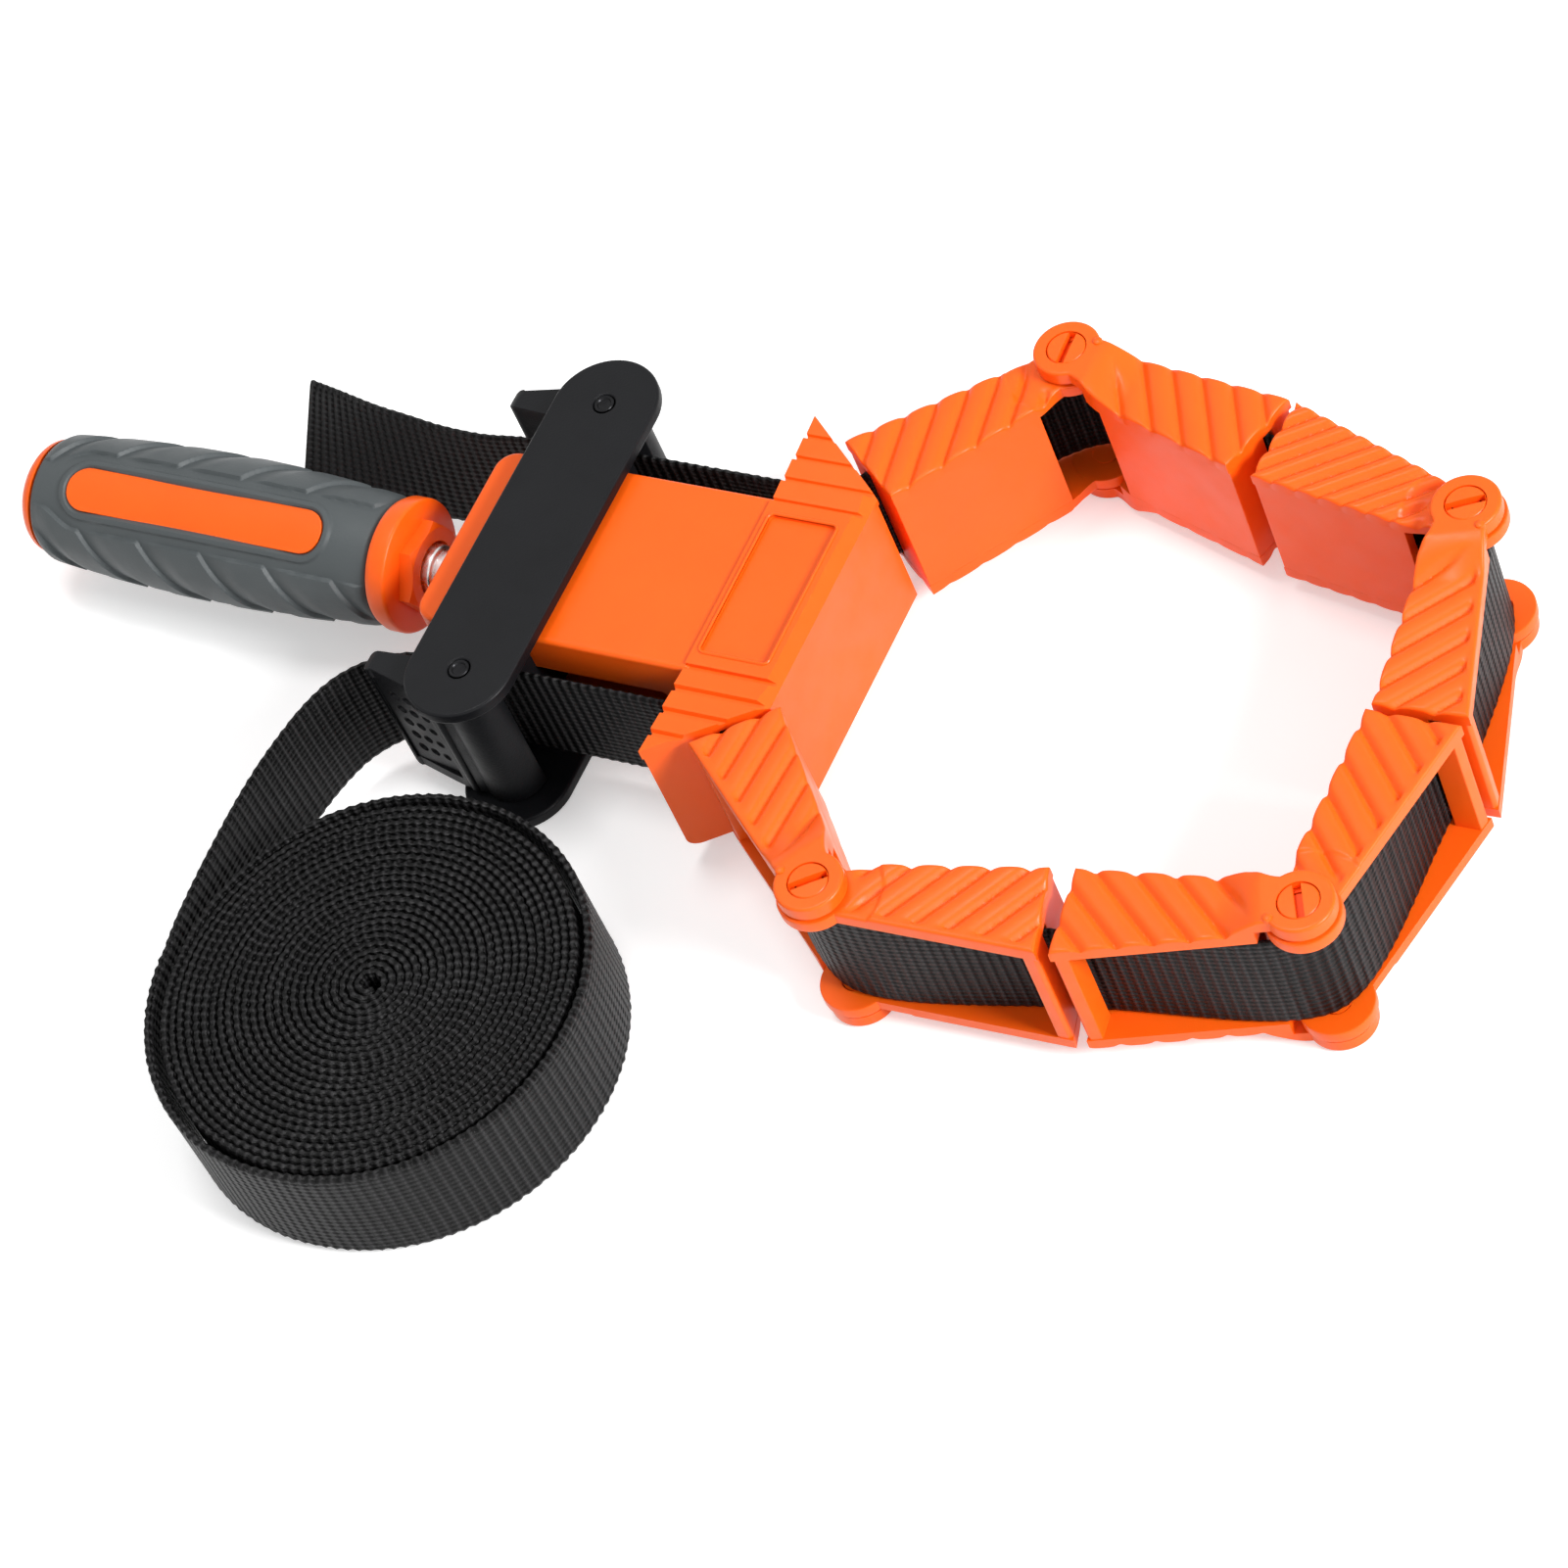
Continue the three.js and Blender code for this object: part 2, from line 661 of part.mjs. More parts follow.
// Carrier: two plates over and under the stem, a block with ears inside it, the nut, anvils and pins
function carrier() {
  const halfWidth = carrierPlateWidth / 2;
  const bevel = carrierPlateBevel;
  const holeRadius = pinRadius + fit / 2;
  const plateShape = shapeOf(stadiumAlong(
    2 * pinHalf + carrierPlateWidth - 2 * bevel,
    carrierPlateWidth - 2 * bevel,
    roundSides,
  ));
  for (const side of [1, -1]) {
    const hole = new THREE.Path();
    hole.absarc(side * pinHalf, 0, holeRadius + bevel, 0, 2 * Math.PI, true);
    plateShape.holes.push(hole);
  }
  const plate = new THREE.ExtrudeGeometry(plateShape, {
    depth: carrierPlateThickness - 2 * bevel,
    bevelEnabled: true,
    bevelThickness: bevel,
    bevelSize: bevel,
    bevelSegments: 1,
    curveSegments: smallSides / 2,
  }).rotateZ(Math.PI / 2).translate(-carrierPlace, 0, bevel);
  add('carrier_bottom_plate', plate.clone(), blackPlastic);
  add('carrier_top_plate', plate.clone().translate(0, 0, carrierTop - carrierPlateThickness), blackPlastic);

  const nutPocketDepth = nutThickness + fit;
  const nutCorner = nutAcrossFlats / Math.sqrt(3);
  const hub = box(
    [-blockDepth / 2, -blockHalf, -blockHeight / 2],
    [blockDepth / 2, blockHalf, blockHeight / 2],
  );
  const earTip = anvilFace - fit;
  const ears = box([-blockDepth / 2, -earTip, -earHeight / 2], [blockDepth / 2, earTip, earHeight / 2]);
  const screwBore = rod(spindleRadius + runningFit, -blockDepth, blockDepth).rotateY(Math.PI / 2);
  const pocketEnd = -blockDepth / 2 + nutPocketDepth;
  const nutPocket = rod(nutCorner + fit, -blockDepth / 2 - overrun, pocketEnd, hexagonSides);
  const block = cut(joined(hub, ears), screwBore, nutPocket.rotateY(Math.PI / 2));
  add('carrier_block', block.translate(-carrierPlace, 0, midHeight), blackPlastic);

  const nutBack = -blockDepth / 2 + fit / 2;
  const nut = cut(
    rod(nutCorner, nutBack, nutBack + nutThickness, hexagonSides),
    rod(spindleRadius + fit / 2, -blockDepth, blockDepth),
  );
  add('spindle_nut', nut.rotateY(Math.PI / 2).translate(-carrierPlace, 0, midHeight), brass);

  const anvilInner = stemHalf + runningFit;
  for (const side of [1, -1]) {
    const name = side > 0 ? 'upper' : 'lower';
    const [near, far] = [side * anvilInner, side * anvilFace].sort((a, b) => a - b);
    const wall = box(
      [-carrierPlace - anvilWidth / 2, near, carrierPlateThickness + fit],
      [-carrierPlace + anvilWidth / 2, far, carrierTop - carrierPlateThickness - fit],
    );
    const window = box(
      [-carrierPlace - blockDepth / 2 - fit, near - overrun, midHeight - earHeight / 2 - fit],
      [-carrierPlace + blockDepth / 2 + fit, far + overrun, midHeight + earHeight / 2 + fit],
    );
    add(`${name}_anvil`, cut(wall, window), blackPlastic);

    const pin = cut(
      tubeAlongZ(pinRadius - pinWall, pinRadius, fit, carrierTop + pinProud),
      box([0, pinSlit / -2, -overrun], [2 * pinRadius, pinSlit / 2, carrierTop + overrun]),
    );
    add(`${name}_pivot_pin`, pin.translate(-carrierPlace, side * pinHalf, 0), steel);
  }
}

// A cam lever, drawn about its pin with +X towards the pad and +Y away from the webbing.
// The cam's radius grows towards the pad, so that a pull on the webbing wedges it.
function leverOutline() {
  const [camStart, camContact, camEnd] = camDegrees;
  const cam = [];
  for (let i = 0; i <= camSteps; i++) {
    const degrees = camStart + (camEnd - camStart) * i / camSteps;
    const radius = camClearance + camGrowth * (degrees - camContact) / (camEnd - camContact);
    const place = direction(degrees).multiplyScalar(radius);
    cam.push([place.x, place.y]);
  }
  const fromShares = ([along, across]) => [leverReach * along, leverHub * across];
  return [
    ...cam,
    ...leverInnerShares.map(fromShares),
    ...arc([leverReach - leverTip, 0], leverTip, -90, 90, tipSteps),
    ...leverOuterShares.map(fromShares),
    ...arc([0, 0], leverHub, ...hubDegrees, hubSteps),
  ];
}

function levers() {
  const bottom = carrierPlateThickness + runningFit;
  const top = carrierTop - carrierPlateThickness - runningFit;
  const springHeight = springPitch * springTurns;
  const pocketReach = springHeight / 2 + springWireRadius + fit;
  const pivot = (geometry, side) => geometry.translate(-carrierPlace, side * pinHalf, 0);
  for (const side of [1, -1]) {
    const name = side > 0 ? 'upper' : 'lower';
    const shape = leverOutline().map(([x, y]) => [-x, side * y]);
    const bore = rod(pinRadius + fit, bottom - overrun, top + overrun, smallSides);
    const pocket = rod(springPocket, midHeight - pocketReach, midHeight + pocketReach, smallSides);
    add(`${name}_lever`, pivot(cut(prism(shape, bottom, top), bore, pocket), side), blackPlastic);
    add(`${name}_lever_spring`, pivot(torsionSpring(side, springHeight), side), steel);
  }
}

// A round wire along points, as one closed tube
function wire(points, radius, sides) {
  const places = [];
  const index = [];
  const across = new THREE.Vector3(0, 0, 1);
  points.forEach((point, i) => {
    const before = points[Math.max(i - 1, 0)];
    const after = points[Math.min(i + 1, points.length - 1)];
    const along = after.clone().sub(before).normalize();
    const flat = new THREE.Vector3().crossVectors(across, along).normalize();
    const rise = new THREE.Vector3().crossVectors(along, flat);
    for (let k = 0; k < sides; k++) {
      const turn = 2 * Math.PI * k / sides;
      const place = point.clone()
        .addScaledVector(flat, radius * Math.cos(turn))
        .addScaledVector(rise, radius * Math.sin(turn));
      places.push(place.x, place.y, place.z);
    }
  });
  for (let i = 0; i + 1 < points.length; i++) {
    for (let k = 0; k < sides; k++) {
      const a = i * sides + k;
      const b = i * sides + (k + 1) % sides;
      index.push(a, b, b + sides, a, b + sides, a + sides);
    }
  }
  const end = (points.length - 1) * sides;
  for (let k = 1; k + 1 < sides; k++) index.push(0, k + 1, k, end, end + k, end + k + 1);
  const geometry = new THREE.BufferGeometry();
  geometry.setAttribute('position', new THREE.BufferAttribute(new Float32Array(places), 3));
  geometry.setIndex(index);
  return tidy(geometry);
}

function torsionSpring(side, height) {
  const points = [];
  const steps = springTurns * curlSteps;
  for (let i = 0; i <= steps; i++) {
    const turn = side * 2 * Math.PI * i / curlSteps;
    points.push(new THREE.Vector3(
      springCoilRadius * Math.cos(turn),
      springCoilRadius * Math.sin(turn),
      midHeight - height / 2 + height * i / steps,
    ));
  }
  const leg = springWireRadius * 2;
  const first = points[0].clone().add(new THREE.Vector3(0, -side * leg, 0));
  const last = points[steps].clone().add(new THREE.Vector3(0, side * leg, 0));
  const route = [first, ...points, last];
  reportGap('lever spring', route, springWireRadius * 2, curlSteps / 2);
  return wire(route, springWireRadius, wireSides);
}

// Prints the least gap between stretches of one tube that lie more than some steps apart
function reportGap(name, points, thickness, skip) {
  let least = Infinity;
  for (let i = 0; i < points.length; i++) {
    for (let k = i + skip; k < points.length; k++) {
      least = Math.min(least, points[i].distanceTo(points[k]));
    }
  }
  console.log(`${name}: least gap to itself ${(least - thickness).toFixed(2)} mm`);
}

// Corner jaws. An arm is drawn about its hinge with +X towards its far end and +Y outwards.
// The outer arm's lugs lie outside the inner arm's lugs, above and below.
const mitre = Math.tan(THREE.MathUtils.degToRad(armMitreDegrees));
const armEndInner = armReach - (armSlotPlace + armInner) * mitre;
const armEndOuter = armReach + (armOuter - armSlotPlace) * mitre;

// The outer edge of a plate is one straight line, from the far end in towards the hinge
function armOuterAt(x) {
  return armHingeOuter + (armOuter - armHingeOuter) * x / armEndOuter;
}

// The bevelled outer corner at the far end, from the end face round to the outer edge
const armCornerPoints = [
  [armEndOuter - armCorner * mitre, armOuter - armCorner],
  [armEndOuter - armCorner, armOuterAt(armEndOuter - armCorner)],
];

function armPlan(start) {
  return [
    [armEndInner, -armInner],
    ...armCornerPoints,
    [start, armOuterAt(start)],
    [start, -armNeckInner],
    [armWallStart, -armInner],
  ];
}

// V-shaped grooves across a plate's outside, cut from a face towards the middle of the arm
function armGrooves(face, inward) {
  const length = 2 * (armInner + armOuter);
  const slope = grooveWidth / 2 / grooveDepth;
  const mouth = grooveWidth / 2 + overrun * slope;
  const section = [[-mouth, -inward * overrun], [mouth, -inward * overrun], [0, inward * grooveDepth]];
  const grooves = [];
  for (let i = 0; i < grooveCount; i++) {
    const middle = armEndInner - grooveStart - groovePitch * i;
    const groove = prism(section, -length / 2, length / 2).rotateX(Math.PI / 2);
    groove.rotateZ(THREE.MathUtils.degToRad(grooveDegrees - 90));
    grooves.push(groove.translate(middle, 0, face));
  }
  return grooves;
}

// One of an arm's two plates with its lug, on the +Z side of the middle height.
// Only the plate that faces up has the small raised dot on its neck.
function armPlateAndLug(outerArm, facesUp) {
  const face = jawHeight / 2;
  const lugRadius = outerArm ? outerLugRadius : innerLugRadius;
  const start = outerArm ? innerLugRadius + runningFit : 0;
  const plate = prism(armPlan(start), face - armPlate, face);
  const ribbedStart = armNeck + grooveWidth;
  const ribbedPart = prism([
    [ribbedStart, -armInner - overrun],
    [armEndOuter + overrun, -armInner - overrun],
    [armEndOuter + overrun, armOuterAt(armEndOuter + overrun) - armRim],
    [ribbedStart, armOuterAt(ribbedStart) - armRim],
  ], face - armPlate, face + overrun);
  const ribbed = cut(plate, ...armGrooves(face, -1).map((groove) => common(groove, ribbedPart)));
  const lugBottom = outerArm ? face + fit : face - fit - lugThickness;
  const lug = rod(lugRadius, lugBottom, lugBottom + lugThickness, lugSides);
  const shank = rod(hingePinRadius + fit, lugBottom - armPlate, lugBottom + 2 * lugThickness, smallSides);
  if (!outerArm) {
    const sweep = rod(ribbedStart + fit, face - fit, face + overrun, lugSides);
    return cut(joined(cut(ribbed, sweep), lug), shank);
  }
  const neck = prism([
    [0, -armNeckInner],
    [ribbedStart, -armInner],
    [ribbedStart, armOuterAt(ribbedStart)],
    [0, armOuterAt(0)],
  ], face - fit, lugBottom + lugThickness);
  const underNeck = rod(start, face - armPlate, lugBottom, lugSides);
  const dot = rod(dotRadius, face, lugBottom + lugThickness + dotHeight, dotSides).translate(armNeck, 0, 0);
  const seatBottom = hingePinTop - hingePinHeadHeight - fit;
  const seat = rod(hingePinHead + fit, seatBottom, hingePinTop + overrun, smallSides);
  const pieces = [lug, cut(neck, underNeck), ...(facesUp ? [dot] : [])];
  return cut(joined(ribbed, ...pieces), shank, seat);
}

function armBody(kind) {
  const outerArm = kind === 'outer';
  const upper = armPlateAndLug(outerArm, true);
  const lower = armPlateAndLug(outerArm, false).scale(1, 1, -1);
  const reach = jawHeight / 2 - armPlate + fit;
  const wall = prism([
    [armWallStart, -armInner],
    [armEndInner, -armInner],
    [armEndInner + armWall * mitre, armWall - armInner],
    [armWallStart, armWall - armInner],
  ], -reach, reach);
  const end = prism([
    [armEndInner - armEndWall, -armInner],
    [armEndInner, -armInner],
    ...armCornerPoints,
    [armEndOuter - armEndWall, armOuterAt(armEndOuter - armEndWall)],
  ], -reach, reach);
  const slot = box(
    [armReach - 2 * armEndWall, armSlotPlace - webbingSlot / 2, -webbingSlotHeight / 2],
    [armReach + armEndWall, armSlotPlace + webbingSlot / 2, webbingSlotHeight / 2],
  );
  return joined(upper, lower, wall, cut(end, slot)).translate(0, 0, midHeight);
}

// The route of the webbing through one arm, in the arm's own frame
function armRoute(interiorDegrees, farGap) {
  const half = THREE.MathUtils.degToRad(interiorDegrees / 2);
  const outward = new THREE.Vector2(-Math.cos(half), Math.sin(half));
  const along = new THREE.Vector2(Math.sin(half), Math.cos(half));
  const start = outward.multiplyScalar(hingeWebbingOffset).addScaledVector(along, hingeWebbingGap / 2);
  const end = new THREE.Vector2(armReach + farGap, armSlotPlace);
  const mouth = new THREE.Vector2(armReach - armEndWall, armSlotPlace);
  const curve = new THREE.CubicBezierCurve(
    start,
    start.clone().addScaledVector(along, armReach * routeHandleShares[0]),
    new THREE.Vector2(armReach * routeHandleShares[1], armSlotPlace),
    mouth,
  );
  return [...curve.getPoints(routeSteps).map((point) => [point.x, point.y]), [end.x, end.y]];
}

// Places of one half of the ring, drawn on the +Y side: the folds, the hinges and each arm's heading
function ringChain(half, sideHeading) {
  const start = flankDegrees + half.startTurn;
  const headings = [start, sideHeading, sideHeading + half.sideBend, half.last];
  const reachOf = (heading) => direction(heading).multiplyScalar(armReach);
  const offset = (heading) => direction(heading + 90).multiplyScalar(armSlotPlace);
  const jawFold = flankExit.clone().addScaledVector(flankNormal, half.jawGap / 2);
  const firstHinge = jawFold.clone().addScaledVector(direction(headings[0]), half.jawGap / 2)
    .add(reachOf(headings[0])).sub(offset(headings[0]));
  const sideFold = firstHinge.clone().add(reachOf(headings[1])).add(offset(headings[1]))
    .addScaledVector(direction(headings[1]), half.sideGap / 2);
  const secondHinge = sideFold.clone().addScaledVector(direction(headings[2]), half.sideGap / 2)
    .add(reachOf(headings[2])).sub(offset(headings[2]));
  const tip = secondHinge.clone().add(reachOf(headings[3])).add(offset(headings[3]));
  return { headings, jawFold, firstHinge, sideFold, secondHinge, tip };
}

// The side's heading is the one that brings the last arm's end to the middle of the ring
function closedChain(half) {
  let [low, high] = headingSearchDegrees;
  for (let i = 0; i < headingSearchSteps; i++) {
    const middle = (low + high) / 2;
    if (ringChain(half, middle).tip.y > meetingGap / 2) {
      high = middle;
    } else {
      low = middle;
    }
  }
  return ringChain(half, (low + high) / 2);
}

const armShapes = { inner: armBody('inner'), outer: armBody('outer') };

function hingePin(up) {
  const top = hingePinTop;
  const shankEnd = jawHeight / 2 - fit - lugThickness;
  const pin = turned([
    [0, shankEnd],
    [hingePinRadius, shankEnd],
    [hingePinRadius, top - hingePinHeadHeight],
    [hingePinHead, top - hingePinHeadHeight],
    [hingePinHead, top],
    [0, top],
  ], smallSides);
  const slot = box(
    [-hingePinHead - overrun, hingePinSlot / -2, top - hingePinSlotDepth],
    [hingePinHead + overrun, hingePinSlot / 2, top + overrun],
  ).rotateZ(up * THREE.MathUtils.degToRad(hingePinSlotDegrees));
  return cut(pin, slot).scale(1, 1, up).translate(0, 0, midHeight);
}

function addArm(name, kind, hinge, heading, flip, side, interior, farGap) {
  const arm = new THREE.Group();
  arm.position.set(hinge.x, side * hinge.y, 0);
  arm.rotation.z = side * THREE.MathUtils.degToRad(heading);
  clamp.add(arm);
  add(`jaw_${name}_${kind}_arm`, armShapes[kind].clone().scale(1, flip, 1), orange, arm);
  const route = mirrored(armRoute(interior, farGap), flip);
  add(`webbing_in_jaw_${name}_${kind}`, ribbon(atHeight(route, webbingBottom)), webbingCloth, arm);
  return arm;
}

function corner(name, side, hinge, [arriving, leaving], [arrivingGap, leavingGap], outerFirst) {
  const interior = 180 - (arriving - leaving);
  const [firstKind, secondKind] = outerFirst ? ['outer', 'inner'] : ['inner', 'outer'];
  const first = addArm(name, firstKind, hinge, arriving + 180, -side, side, interior, arrivingGap);
  const second = addArm(name, secondKind, hinge, leaving, side, side, interior, leavingGap);
  const outerArm = outerFirst ? first : second;
  add(`jaw_${name}_upper_hinge_pin`, hingePin(1), orange, outerArm);
  add(`jaw_${name}_lower_hinge_pin`, hingePin(-1), orange, outerArm);
}

// Prints where the pivots of one half of the ring lie in the finished part
function reportPivots(name, side, { jawFold, firstHinge, sideFold, secondHinge }) {
  const rows = Object.entries({ jawFold, firstHinge, sideFold, secondHinge });
  for (const [pivot, place] of rows) {
    const x = (place.x - jawDepth).toFixed(3);
    const y = (side * place.y).toFixed(3);
    console.log(`${name} ${pivot}: x ${x}, y ${y} mm`);
  }
}

function ring() {
  for (const half of ringHalves) {
    const chain = closedChain(half);
    const [first, second, third, last] = chain.headings;
    const outerFirst = half.side < 0;
    const [atJaw, atSide, atMeeting] = [half.jawGap, half.sideGap, meetingGap]
      .map((gap) => gap / 2 - foldGap / 2);
    const [near, far] = half.names;
    corner(near, half.side, chain.firstHinge, [first, second], [atJaw, atSide], outerFirst);
    corner(far, half.side, chain.secondHinge, [third, last], [atSide, atMeeting], outerFirst);
    reportPivots(near + far, half.side, chain);
    const base = jawRoute(fit, atJaw);
    const name = half.side > 0 ? 'upper' : 'lower';
    add(`webbing_in_base_${name}`, ribbon(atHeight(mirrored(base, half.side), webbingBottom)), webbingCloth);
  }
}

// The webbing between the carrier and the jaw, its free end, its long end and its roll
function runs() {
  const nip = -carrierPlace;
  for (const side of [1, -1]) {
    const name = side > 0 ? 'upper' : 'lower';
    const run = [[nip + fit, side * runHalf], [(nip + fit) / 2, side * runHalf], [-fit, side * runHalf]];
    add(`webbing_run_${name}`, ribbon(atHeight(run, webbingBottom)), webbingCloth);
  }
  const fromCams = ([x, ...rest]) => [nip + x, ...rest];
  const freeEnd = [...freeEndPlaces.map(fromCams), [nip - fit, runHalf]];
  add('webbing_free_end', ribbon(atHeight(freeEnd, webbingBottom)), webbingCloth);

  const [entryX, entryY] = rollPoint(0);
  const longEnd = [[nip - fit, -runHalf, webbingBottom], ...longEndPlaces.map(fromCams)];
  add('webbing_long_end', ribbon([...longEnd, [entryX, entryY + fit, 0]]), webbingCloth);
}

// One place on the roll after some loops. The first loop is slack and drawn in towards the others,
// which lie a pitch apart.
function rollPoint(loops) {
  const turn = THREE.MathUtils.degToRad(rollStartDegrees + 360 * loops);
  const tight = rollRadius - rollPitch * Math.max(loops - 1, 0);
  const entering = Math.max(1 - rollSlackLoops * loops, 0);
  const loose = rollSlackRadius + (rollEntryRadius - rollSlackRadius) * entering;
  const ease = Math.min(rollSlackLoops * Math.max(1 - loops, 0), 1);
  const radius = tight + (loose - tight) * ease;
  const centreX = rollCentreAhead - carrierPlace;
  return [centreX + radius * Math.cos(turn), radius * Math.sin(turn) - rollCentreY, 0];
}

function roll() {
  const points = [];
  const steps = (rollLoops + 1) * loopSteps;
  for (let i = 0; i <= steps; i++) points.push(rollPoint(i / loopSteps));
  add('webbing_roll', ribbon(points), webbingCloth);
  const centres = points.map(([x, y]) => new THREE.Vector3(x, y, 0));
  reportGap('webbing roll', centres, webbingThickness, loopSteps / 2);
}

housing();
stemCover();
handle();
spindle();
carrier();
levers();
ring();
runs();
roll();

clamp.position.set(-jawDepth, 0, -midHeight);
clamp.updateMatrixWorld(true);

export default clamp;
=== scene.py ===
"""Looks of the band clamp: ribbed plastic, steel, rubber and woven webbing round the CAD frame."""
import json
import math
from math import cos, pi, radians, sin

import bmesh
import bpy
import numpy as np
from mathutils import Matrix, Vector

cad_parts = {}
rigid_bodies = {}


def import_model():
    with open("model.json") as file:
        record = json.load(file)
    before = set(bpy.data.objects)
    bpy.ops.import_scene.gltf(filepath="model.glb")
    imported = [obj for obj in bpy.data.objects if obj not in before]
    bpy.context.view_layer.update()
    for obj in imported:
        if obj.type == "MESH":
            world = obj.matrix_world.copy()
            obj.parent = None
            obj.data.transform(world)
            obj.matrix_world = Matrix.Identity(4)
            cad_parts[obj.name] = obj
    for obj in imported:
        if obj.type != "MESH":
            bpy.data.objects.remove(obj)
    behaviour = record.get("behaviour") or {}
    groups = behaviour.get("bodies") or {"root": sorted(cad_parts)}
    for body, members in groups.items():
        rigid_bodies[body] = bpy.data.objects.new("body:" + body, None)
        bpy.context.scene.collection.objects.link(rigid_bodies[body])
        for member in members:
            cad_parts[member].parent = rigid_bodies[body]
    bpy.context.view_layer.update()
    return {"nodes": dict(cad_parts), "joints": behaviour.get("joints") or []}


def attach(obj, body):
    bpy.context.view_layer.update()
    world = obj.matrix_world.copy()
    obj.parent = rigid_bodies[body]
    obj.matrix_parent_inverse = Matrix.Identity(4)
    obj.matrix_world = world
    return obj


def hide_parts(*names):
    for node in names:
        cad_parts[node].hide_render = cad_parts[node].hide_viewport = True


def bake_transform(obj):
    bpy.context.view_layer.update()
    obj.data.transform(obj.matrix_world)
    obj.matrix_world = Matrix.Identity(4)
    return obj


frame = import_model()

# Lengths are millimetres; a mesh is scaled to metres when it is made.
MM = 0.001
FIT = 0.3
SHARP = radians(32)

# Fixed jaw and stem, with x = 0 at the clamping face
JAW_TOP = 16
JAW_DEPTH = 20.6
JAW_BACK_HALF = 41
JAW_FACE_HALF = 25.2
JAW_SLAB = 2.6
FLANK_INSET = 0.35
FOOT_ROUNDING = 2.4
RIB_START = 19.8
RIB_COUNT = 4
RIB_HEIGHT = 0.9
JAW_RIB_PITCH = (JAW_BACK_HALF - RIB_START) / RIB_COUNT
JAW_RIBS = [RIB_START + JAW_RIB_PITCH * i for i in range(RIB_COUNT)]
STEM_LENGTH = 61.5
STEM_HALF = 21
STEM_TOP = 15.4
STEM_CORNER = 4.5
STEM_WALL = 2.6
STEM_ROOF = 2.8
STEM_BACK_WALL = 4
SPINDLE_HOLE = 4.3
FLANK_SLOT_SHARE = 0.636
JAW_BEND_SHARE = 0.99
RUN_HALF = 27
WEB = 1.1
WEB_HALF = 12.5
WEB_SLOT = 2.4
WEB_SLOT_HALF = 13
WEAVE_ALONG = 2.1
WEAVE_ACROSS = 1.3
JAW_POCKET = (-JAW_DEPTH + 1.6, -4.4, -16.6, 16.6)

# Carrier, levers and pins
SIDES = ((1, "upper"), (-1, "lower"))
CAM_X = -63.3
STEM_SLOT = (CAM_X - 13.5, CAM_X + 35.5, -5.9, 5.9)
PIN_HALF = 33
PLATE_HALF = 11.3
PLATE_THICK = 2.8
PLATE_TOP = 19.3
PIN_RADIUS = 2
PIN_BORE = 2.2
LEVER_BORE = 2.3
LEVER_REACH = 23.3
LEVER_TIP = 2.3
LEVER_CORNER = 3
LEVER_LIP = 3
LEVER_RELIEF = 0.7
LEVER_HUB = 6.4
LEVER_HALF = 16
CAM_RISE = 0.8
DIMPLE = 1.3
DIMPLE_PITCH = 4.2

# Handle, turned about the spindle's axis
GRIP_BACK = -184.4
GRIP_FRONT = -102
GRIP_END_RADIUS = 12.2
GRIP_MIDDLE_RADIUS = 14.4
GRIP_BORE = 10.8
GRIP_ROUNDING = 1.2
GRIP_SIDES = 440
GRIP_COLUMNS = 380
WINDOW_MIDDLE = -143.9
LIP_WIDTH = 2
LIP_HEIGHT = 0.55
TREAD_PITCH = 15.4
TREAD_HEIGHT = 0.85
TREAD_SLOPE = 0.62
TREAD_START = 8.4
TREAD_STEP = 0.55
LOWER_TREAD = -155.6
UPPER_TREAD = -150.9
WINDOW_LENGTH = 62.4
WINDOW_WIDTH = 9.6
WINDOW_ROLL = 22
FLANGE_RADIUS = 13.7
FLANGE_FRONT = -96.2
NOSE_FRONT = -93
NOSE_ROLL = 52
NOSE_ACROSS = 17
BUTT_LENGTH = 5.2

# Corner jaws
REACH = 44.3
MITRE = math.tan(radians(2.3))
ARM_INNER = 6.4
ARM_OUTER = 12.2
ARM_HINGE_OUTER = 4.1
ARM_FACE = 16
ARM_PLATE = 3
SLOT_PLACE = 5
OUTER_LUG = 6.7
INNER_LUG = 7.2
LUG_TOP = 19.3

ORANGE = "orange_plastic"
BLACK = "black_plastic"
RUBBER = "grip_rubber"
STEEL = "bright_steel"
BRASS = "brass"
WHITE = "white_plastic"
WEBBING = "webbing"


# Mesh helpers

def linked(name, data):
    """A new object in the scene."""
    obj = bpy.data.objects.new(name, data)
    bpy.context.scene.collection.objects.link(obj)
    return obj


def to_object(name, verts, faces, material, uvs=None, sharp=SHARP):
    """A mesh object from points in millimetres, smooth but for its sharp edges."""
    mesh = bpy.data.meshes.new(name)
    places = (np.asarray(verts, float) * MM).tolist()
    mesh.from_pydata(places, [], [list(map(int, face)) for face in faces])
    if uvs:
        layer = mesh.uv_layers.new(name="UVMap")
        corners = np.zeros(len(mesh.loops), int)
        mesh.loops.foreach_get("vertex_index", corners)
        layer.data.foreach_set("uv", np.asarray(uvs, float)[corners].ravel())
    mesh.update()
    mesh.validate()
    obj = linked(name, mesh)
    face_outwards(obj)
    smooth(obj, sharp)
    if material:
        obj.data.materials.append(materials[material])
    return obj


def face_outwards(obj):
    shell = bmesh.new()
    shell.from_mesh(obj.data)
    bmesh.ops.recalc_face_normals(shell, faces=shell.faces)
    shell.to_mesh(obj.data)
    shell.free()


def smooth(obj, sharp=SHARP):
    obj.data.polygons.foreach_set("use_smooth", [True] * len(obj.data.polygons))
    obj.data.set_sharp_from_angle(angle=sharp)


def ring_faces(rings, count, closed=False):
    """Faces between neighbouring rings of points; a closed run also joins the last to the first."""
    faces = []
    for i in range(rings if closed else rings - 1):
        start, after = i * count, (i + 1) % rings * count
        for k in range(count):
            m = (k + 1) % count
            faces.append([start + k, start + m, after + m, after + k])
    return faces


